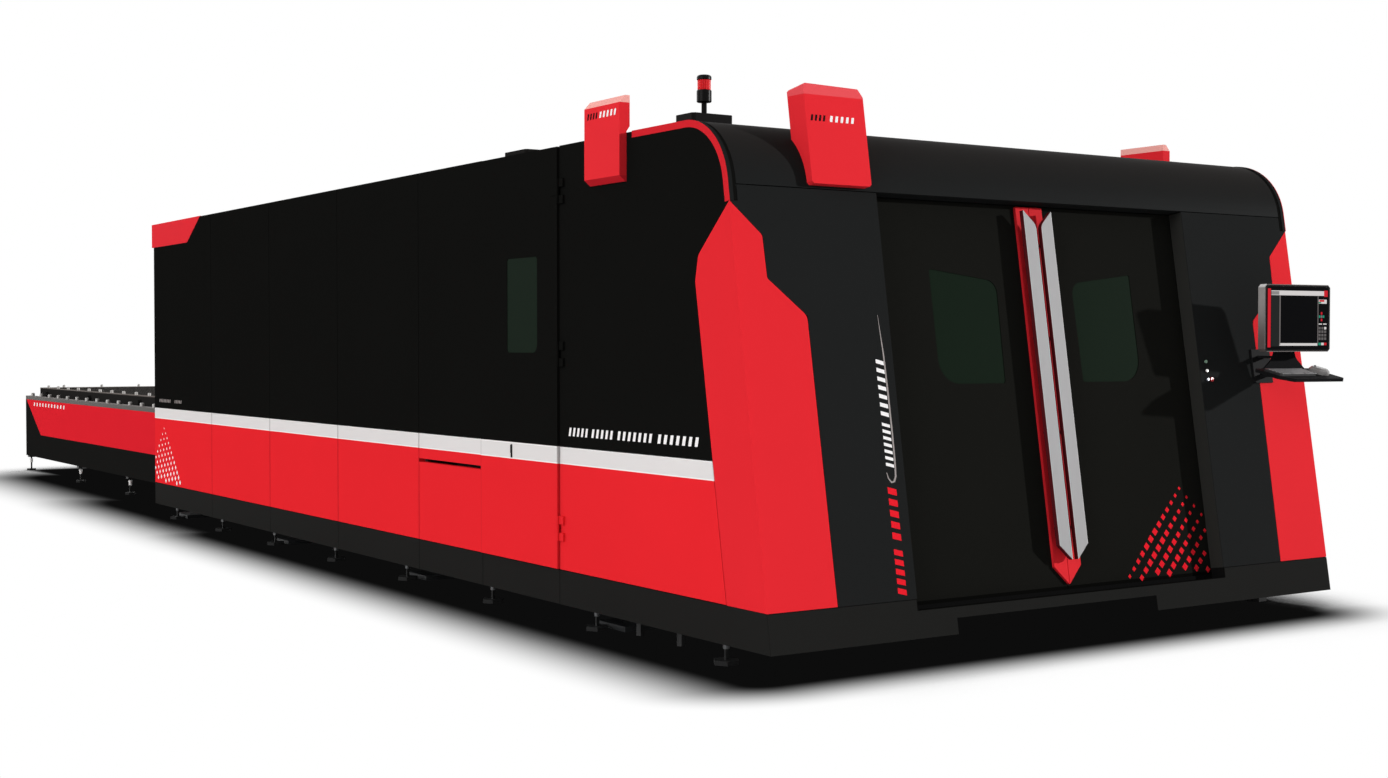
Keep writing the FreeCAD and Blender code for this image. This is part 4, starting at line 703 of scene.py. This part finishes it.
def roundStud(start, given):
    # a pin with a chamfered head
    head = start.node("GeometryNodeMeshCone", {"Vertices": 20, "Radius Top": given["Radius"] * 0.62,
                      "Radius Bottom": given["Radius"], "Depth": given["Chamfer"]}, fill_type="NGON")
    lift = start.node("ShaderNodeCombineXYZ", {"Z": given["Height"]})
    raised = start.node("GeometryNodeTransform", {"Geometry": head, "Translation": lift})
    return joinedForms(start, drum(start, 20, given["Radius"], given["Height"]), raised)


def footNut(start, given):
    # a lock nut with its washer and the sleeve under it
    sleeve = drum(start, 16, given["Sleeve radius"], given["Sleeve height"])
    nut = drum(start, 6, given["Nut radius"], given["Nut height"], given["Sleeve height"])
    return joinedForms(start, sleeve, nut)


palletStuds = {"sideX": 1.240, "perSide": 14, "pitch": 0.415, "endHalf": 1.210, "endShare": 5.9, "perEnd": 6,
               "seat": 0.0265, "size": {"Radius": 0.0145, "Height": 0.0215, "Chamfer": 0.005}}
pallets = {
    "upper": {"top": 0.9315, "from": 8.710, "ends": (8.490, 14.330)},
    "lower": {"top": 0.6965, "from": 2.210, "ends": (1.990, 7.830)},
}
for level, pallet in pallets.items():
    places, foot = [], pallet["top"] - palletStuds["seat"]
    for i in range(palletStuds["perSide"]):
        y = alongBed(pallet["from"]) + palletStuds["pitch"] * i
        places += [(side * palletStuds["sideX"], y, foot) for side in (-1, 1)]
    middle = (palletStuds["perEnd"] - 1) / 2
    for end in pallet["ends"]:
        places += [((i - middle) * 2 * palletStuds["endHalf"] / palletStuds["endShare"], alongBed(end), foot)
                   for i in range(palletStuds["perEnd"])]
    repeat(level + "PalletStuds", standing(places), roundStud, palletStuds["size"], brightSteel,
           level + "_pallet")

tableStuds = {"x": 1.378, "last": 14.226, "pitch": 0.373, "count": 16, "seat": 0.8175,
              "size": {"Radius": 0.0185, "Height": 0.027, "Chamfer": 0.006}}
places = [(side * tableStuds["x"], alongBed(tableStuds["last"] - tableStuds["pitch"] * i), tableStuds["seat"])
          for i in range(tableStuds["count"]) for side in (-1, 1)]
repeat("tableStuds", standing(places), roundStud, tableStuds["size"], brightSteel, "machine")

nutChrome = finish("nutChrome", tone(214, 212, 210), rough=0.25, metal=0.2, shine=0.3)
feet = {
    "housing": {"x": 1.708, "y": [0.420 + 1.086 * i for i in range(8)], "z": 0.066, "material": screwSteel,
                "slot": "foot_steel", "size": {"Sleeve radius": 0.0150, "Sleeve height": 0.022,
                                               "Nut radius": 0.0190, "Nut height": 0.012}},
    "table": {"x": 1.370, "y": [8.800, 10.5387, 12.2773, 14.356], "z": 0.085, "material": nutChrome,
              "slot": "bright_steel", "size": {"Sleeve radius": 0.0145, "Sleeve height": 0.030,
                                               "Nut radius": 0.0180, "Nut height": 0.014}},
}
for name, foot in feet.items():
    places = [(side * foot["x"], alongBed(y), foot["z"]) for y in foot["y"] for side in (-1, 1)]
    repeat(name + "FootNuts", standing(places), footNut, foot["size"], foot["material"], "machine")

# toothed slats of the two pallets, finer than in the CAD
slats = {"count": 61, "thick": 0.004, "teeth": 30, "depth": 0.016, "weld": 0.0001}


def sawSlat(start, given):
    teeth = slats["teeth"]
    sheet = start.node("GeometryNodeMeshGrid", {"Size X": given["Length"], "Size Y": given["Height"],
                       "Vertices X": 2 * teeth + 1, "Vertices Y": 2})
    x, y = start.node("GeometryNodeInputPosition").parts()[:2]
    station = x / (given["Length"] / (2.0 * teeth)) + float(teeth)
    station = station.maths("ROUND", station)
    valley = station.maths("MODULO", station, 2.0) * (y > 0.0)
    drop = start.node("ShaderNodeCombineXYZ", {"Y": valley * given["Depth"] * -1.0})
    toothed = start.node("GeometryNodeSetPosition", {"Geometry": sheet, "Offset": drop})
    way = start.node("ShaderNodeCombineXYZ", {"Z": 1.0})
    front = start.node("GeometryNodeExtrudeMesh", {"Mesh": toothed, "Offset": way,
                       "Offset Scale": given["Thickness"], "Individual": False})
    back = start.node("GeometryNodeFlipFaces", {"Mesh": toothed})
    solid = joinedForms(start, front, back)
    return start.node("GeometryNodeMergeByDistance", {"Geometry": solid, "Distance": slats["weld"]})


for level in pallets:
    name, body = level + "_pallet_slats", level + "_pallet"
    low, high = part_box(name)
    middle = (low.z + high.z) / 2
    rows = rowOf((0.0, low.y, middle), (0.0, high.y - slats["thick"], middle), slats["count"])
    sizes = {"Length": high.x - low.x, "Height": high.z - low.z, "Depth": slats["depth"],
             "Thickness": slats["thick"]}
    piece = repeat(body + "Slats", standing(rows, facing["rear"]), sawSlat, sizes, looks[name], body)
    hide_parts(name)


# the warning lamp is turned: rings of (radius, height), ribbed round its lens, closed at both ends
lampShape = {"sides": 48, "ribbed": (5, 6), "groove": 0.965,
             "rings": [(0.0320, 2.502), (0.0355, 2.505), (0.0355, 2.556), (0.0325, 2.5598), (0.0300, 2.5602),
                       (0.0315, 2.562), (0.0315, 2.605), (0.0300, 2.6068), (0.0330, 2.6072), (0.0350, 2.609),
                       (0.0350, 2.620), (0.0325, 2.626), (0.0250, 2.630), (0.0120, 2.631)]}


def stackedRings(count, sides):
    # sides between rings of points, and a cap at each end
    faces = []
    for ring in range(count - 1):
        for i in range(sides):
            j = (i + 1) % sides
            a, b = ring * sides, (ring + 1) * sides
            faces.append([a + i, a + j, b + j, b + i])
    faces.append(list(reversed(range(sides))))
    faces.append([(count - 1) * sides + i for i in range(sides)])
    return faces


def turnedLamp(shape, centre):
    points = []
    for index, (radius, height) in enumerate(shape["rings"]):
        for i in range(shape["sides"]):
            angle = 2 * math.pi * i / shape["sides"]
            reach = radius * (shape["groove"] if index in shape["ribbed"] and i % 2 else 1.0)
            points.append((centre[0] + reach * math.cos(angle), centre[1] + reach * math.sin(angle), height))
    faces = stackedRings(len(shape["rings"]), shape["sides"])
    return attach(meshObject("warningLamp", points, faces, looks["stack_light_lamp"]), "machine")


low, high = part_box("stack_light_lamp")
lamp = turnedLamp(lampShape, ((low.x + high.x) / 2, (low.y + high.y) / 2))
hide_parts("stack_light_lamp")

# rubber of the front, each strip on both sides, as x, height and depth from and to
sealRubber = finish("sealRubber", tone(17, 17, 17), rough=0.7, shine=0.0)
seals = {
    "seam": ((0.9880, 1.7740), (0.2662, 0.2701), (0.0004, 0.0024)),
    "besideSill": ((0.9852, 0.9874), (0.2203, 0.2700), (0.0028, 0.0795)),
    "underDoors": ((0.0, 0.9850), (0.2216, 0.2400), (0.0780, 0.0800)),
}
points, faces = [], []
for side in (-1, 1):
    for xs, heights, depths in seals.values():
        first = len(points)
        for x in xs[::side]:
            points += [onFront(side * x, height, depth) for height in heights for depth in depths]
        for quad in ((2, 3, 1, 0), (5, 7, 6, 4), (1, 5, 4, 0), (6, 7, 3, 2), (4, 6, 2, 0), (3, 7, 5, 1)):
            faces.append([first + i for i in quad])
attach(meshObject("seamSeals", points, faces, sealRubber), "machine")
print("fasteners, slats and lamp done")

# keyboard caps, mouse wheel and the screen's picture ride on the console
consoleTurn = Matrix.Rotation(console["turn"], 3, "Z")
consolePlace = Vector((console["x"], alongBed(console["y"]), 0.0))


def atConsole(x, y, z):
    return consolePlace + consoleTurn @ Vector((x, y, z))


def onTray(x, y, z):
    pivot = Vector((0.0, console["trayY"], console["trayZ"]))
    tilted = Matrix.Rotation(console["trayTilt"], 3, "X") @ (Vector((x, y, z)) - pivot) + pivot
    return atConsole(*tilted)


keys = {"columns": 15, "rows": 5, "pitch": 0.0151, "left": -0.1695, "front": -0.2135, "rowPitch": 0.0235,
        "spaceBar": (0, 4), "spaceKeys": 6, "size": {"Width": 0.0134, "Length": 0.0200, "Height": 0.0030}}
keyTurn = consoleTurn @ Matrix.Rotation(console["trayTilt"], 3, "X")
keyPlastic = finish("keyPlastic", tone(88, 87, 88), rough=0.5, shine=0.4)
spots = []
for row in range(keys["rows"]):
    column = 0
    while column < keys["columns"]:
        span = keys["spaceKeys"] if (row, column) == keys["spaceBar"] else 1
        x = keys["left"] + (column + span / 2) * keys["pitch"]
        y = keys["front"] + row * keys["rowPitch"]
        place = onTray(x, y, console["trayTop"] + console["keyHeight"])
        spots.append((place, (span, 1.0, 1.0), spotTurn(keyTurn)))
        column += span
repeat("keyCaps", spots, keyCap, keys["size"], keyPlastic, "console")

# the picture on the monitor: rectangles laid one over another, as shares of the screen
screenFace = {"wide": 0.409, "high": 0.314, "low": 1.3355, "y": -0.1498, "back": 0.0002, "layer": 0.00004,
              "layerStarts": (0, 3, 7, 10), "glow": 0.85}
white, ash, coal, night = tone(226, 222, 221), tone(120, 114, 113), tone(37, 39, 38), tone(8, 8, 9)
signalRed, signalGreen = tone(214, 36, 48), tone(40, 150, 120)
picture = [
    (0.00, 0.00, 1.00, 1.00, night),
    (0.018, 0.035, 0.066, 0.965, tone(222, 34, 48)),
    (0.074, 0.050, 0.205, 0.850, coal),
    (0.074, 0.860, 0.985, 0.935, white),
    (0.205, 0.070, 0.222, 0.860, ash),
    (0.222, 0.105, 0.822, 0.850, tone(6, 6, 7)),
    (0.205, 0.062, 0.822, 0.102, white),
    (0.822, 0.100, 0.834, 0.860, ash),
    (0.074, 0.868, 0.200, 0.924, tone(150, 147, 146)),
    (0.925, 0.845, 0.985, 0.945, signalRed),
    (0.840, 0.735, 0.970, 0.800, white),
    (0.850, 0.765, 0.930, 0.795, signalRed),
    (0.840, 0.740, 0.880, 0.762, signalGreen),
    (0.874, 0.560, 0.900, 0.600, signalRed),
    (0.874, 0.455, 0.900, 0.495, signalRed),
    (0.842, 0.508, 0.868, 0.548, signalGreen),
    (0.906, 0.508, 0.932, 0.548, signalGreen),
    (0.874, 0.508, 0.900, 0.548, tone(120, 120, 122)),
    (0.840, 0.400, 0.894, 0.418, white),
    (0.914, 0.400, 0.970, 0.418, white),
    (0.838, 0.070, 0.880, 0.110, signalGreen),
    (0.884, 0.070, 0.926, 0.110, white),
    (0.930, 0.070, 0.972, 0.110, signalRed),
]
pad = {"columns": 3, "rows": 4, "left": 0.840, "low": 0.155, "right": 0.874, "high": 0.195,
       "pitch": (0.046, 0.056), "lit": (2, 3), "grey": tone(104, 100, 100)}
for column in range(pad["columns"]):
    for row in range(pad["rows"]):
        shade = white if (column, row) == pad["lit"] else pad["grey"]
        across, up = column * pad["pitch"][0], row * pad["pitch"][1]
        picture.append((pad["left"] + across, pad["low"] + up, pad["right"] + across, pad["high"] + up,
                        shade))


def screenPicture():
    points, faces, shades = [], [], []
    side = screenFace["wide"] / 2
    for layer, (left, low, right, high, shade) in enumerate(picture):
        raised = sum(layer > start for start in screenFace["layerStarts"])
        y = screenFace["y"] - screenFace["layer"] * raised
        first = len(points)
        back = screenFace["y"] + screenFace["back"]
        for depth in (back, y):
            for u, v in ((left, low), (right, low), (right, high), (left, high)):
                height = screenFace["low"] + v * screenFace["high"]
                points.append(atConsole(-side + u * screenFace["wide"], depth, height))
        quads = [(4, 5, 6, 7), (3, 2, 1, 0), (0, 1, 5, 4), (1, 2, 6, 5), (2, 3, 7, 6), (3, 0, 4, 7)]
        faces += [[first + i for i in quad] for quad in quads]
        shades += [shade] * 24
    obj = meshObject("screenPicture", points, faces, screenMaterial)
    layer = obj.data.color_attributes.new("shade", "FLOAT_COLOR", "CORNER")
    layer.data.foreach_set("color", [value for shade in shades for value in shade])
    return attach(obj, "monitor")


def litScreen():
    # the picture glows by itself, under a dull glass
    made = bpy.data.materials.new("litScreen")
    made.use_nodes = True
    tree = made.node_tree
    shader = tree.nodes["Principled BSDF"]
    start = Wire(tree, None)
    shade = start.node("ShaderNodeVertexColor", layer_name="shade")
    place = start.node("ShaderNodeTexCoord", output=3)
    dust = start.node("ShaderNodeTexNoise", {"Vector": place, "Scale": 60.0})
    level = start.node("ShaderNodeHueSaturation", {"Color": shade, "Value": (dust - 0.5) * 0.06 + 1.0})
    tree.links.new(level.socket, shader.inputs["Emission Color"])
    shader.inputs["Emission Strength"].default_value = screenFace["glow"]
    shader.inputs["Base Color"].default_value = tone(6, 6, 7)
    shader.inputs["Specular IOR Level"].default_value = 0.01
    tree.links.new((dust * 0.1 + 0.12).socket, shader.inputs["Roughness"])
    return made


screenMaterial = litScreen()
screenPicture()

# wheel between the mouse buttons; its rings are shares of the half width and of the radius
wheel = {"x": 0.126, "y": -0.135, "z": 1.2636, "radius": 0.0075, "wide": 0.005, "sides": 20, "groove": 0.95,
         "rings": ((-1.0, 0.72), (-0.7, 1.0), (0.7, 1.0), (1.0, 0.72))}
points = []
for station, share in wheel["rings"]:
    for i in range(wheel["sides"]):
        angle = 2 * math.pi * i / wheel["sides"]
        reach = share * wheel["radius"] * (1.0 if i % 2 else wheel["groove"])
        points.append(onTray(wheel["x"] + station * wheel["wide"] / 2, wheel["y"] + reach * math.cos(angle),
                             wheel["z"] + reach * math.sin(angle)))
wheelRubber = finish("wheelRubber", tone(60, 60, 62), rough=0.6)
mouseWheel = meshObject("mouseWheel", points, stackedRings(len(wheel["rings"]), wheel["sides"]), wheelRubber)
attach(mouseWheel, "console")
print("console done")

# camera, light, floor
camera = {"lens": 45.57, "sensor": 36.0, "reach": 400.0, "place": (-5.930, -12.817, 1.347),
          "turn": (88.64, 0.0, -33.484)}
lens = bpy.data.cameras.new("camera")
lens.lens, lens.sensor_width, lens.clip_end = camera["lens"], camera["sensor"], camera["reach"]
eye = bpy.data.objects.new("camera", lens)
eye.location = camera["place"]
eye.rotation_euler = Euler([math.radians(a) for a in camera["turn"]])
bpy.context.scene.collection.objects.link(eye)
bpy.context.scene.camera = eye

# three suns: where their light travels, how strong it is, how wide the sun looks in degrees
lights = {
    "key": {"travel": (-0.83, 0.51, -0.21), "strength": 3.35, "spread": 1.5},
    "fill": {"travel": (0.90, 0.15, -0.35), "strength": 1.8, "spread": 40.0},
    "rear": {"travel": (0.30, -0.85, -0.40), "strength": 1.2, "spread": 50.0},
}
lightDistance = 30.0
for name, light in lights.items():
    sun = bpy.data.lights.new(name, "SUN")
    sun.energy = light["strength"]
    sun.angle = math.radians(light["spread"])
    source = bpy.data.objects.new(name, sun)
    source.rotation_euler = Vector(light["travel"]).to_track_quat("-Z", "Y").to_euler()
    source.location = Vector(light["travel"]) * -lightDistance
    bpy.context.scene.collection.objects.link(source)


def seenRays(start):
    # rays from the camera, and those that metal and glass pass on
    rays = start.node("ShaderNodeLightPath").socket.node.outputs
    kinds = ("Is Camera Ray", "Is Glossy Ray", "Is Transmission Ray")
    direct, glossy, passed = [Wire(start.tree, rays[kind]) for kind in kinds]
    seen = direct + glossy + passed
    return seen.maths("MINIMUM", seen, 1.0)


ambient = {"strength": 0.25}
world = bpy.data.worlds.new("studio")
world.use_nodes = True
bpy.context.scene.world = world
tree = world.node_tree
start = Wire(tree, None)
seen = seenRays(start)
sky = tree.nodes["Background"]
sky.inputs["Color"].default_value = (1.0, 1.0, 1.0, 1.0)
tree.links.new((seen * (1.0 - ambient["strength"]) + ambient["strength"]).socket, sky.inputs["Strength"])

# the floor's shadow: ambient occlusion, and a painted shadow darker under and near the housing and the table
floor = {"size": 120.0, "colour": (0.85, 0.85, 0.85, 1.0), "reach": 0.75, "white": 0.97, "dark": 0.55,
         "core": 0.165, "least": 0.004}
paintedShadows = [    # corners, and how far the shadow reaches to the left, right, front and rear
    {"low": (-1.80, alongBed(0.0)), "high": (1.49, alongBed(6.6)), "fade": (0.74, 0.74, 0.51, 1.50)},
    {"low": (-1.66, alongBed(6.0)), "high": (1.20, alongBed(9.4)), "fade": (0.92, 0.70, 1.00, 2.80)},
    {"low": (-1.41, alongBed(8.0)), "high": (1.20, alongBed(13.0)), "fade": (1.17, 0.70, 0.50, 1.90)},
    {"low": (-1.22, alongBed(8.4)), "high": (1.20, alongBed(14.2)), "fade": (0.40, 0.40, 0.40, 0.55)},
]
edge = floor["size"]
ground = meshObject("floor", [(-edge, -edge, 0), (edge, -edge, 0), (edge, edge, 0), (-edge, edge, 0)],
                    [(0, 1, 2, 3)], bpy.data.materials.new("studioFloor"))
material = ground.data.materials[0]
material.use_nodes = True
tree = material.node_tree
tree.nodes.remove(tree.nodes["Principled BSDF"])
start = Wire(tree, None)
openness = start.node("ShaderNodeAmbientOcclusion", {"Distance": floor["reach"]}, output=1, samples=16)
shadow = openness.soft(floor["dark"], floor["white"])
floorAxes = start.node("ShaderNodeTexCoord", output=3).parts()[:2]
for area in paintedShadows:
    gaps = []
    for i, axis in enumerate(floorAxes):
        before = (area["low"][i] - axis) / area["fade"][2 * i]
        beyond = (axis - area["high"][i]) / area["fade"][2 * i + 1]
        gaps.append(axis.maths("MAXIMUM", axis.maths("MAXIMUM", before, beyond), 0.0))
    reach = gaps[0].maths("SQRT", gaps[0] * gaps[0] + gaps[1] * gaps[1])
    shadow = shadow.maths("MINIMUM", shadow, reach.soft(floor["core"], 1.0))
shadow = shadow * (1.0 - floor["least"]) + floor["least"]
matt = start.node("ShaderNodeBsdfDiffuse", {"Color": floor["colour"]})
plain = start.node("ShaderNodeEmission", {"Color": shadow, "Strength": 1.0})
mixed = start.node("ShaderNodeMixShader", {0: seenRays(start), 1: matt, 2: plain})
tree.links.new(mixed.socket, tree.nodes["Material Output"].inputs["Surface"])

view = bpy.context.scene.view_settings
view.view_transform = "Standard"
print("studio done")
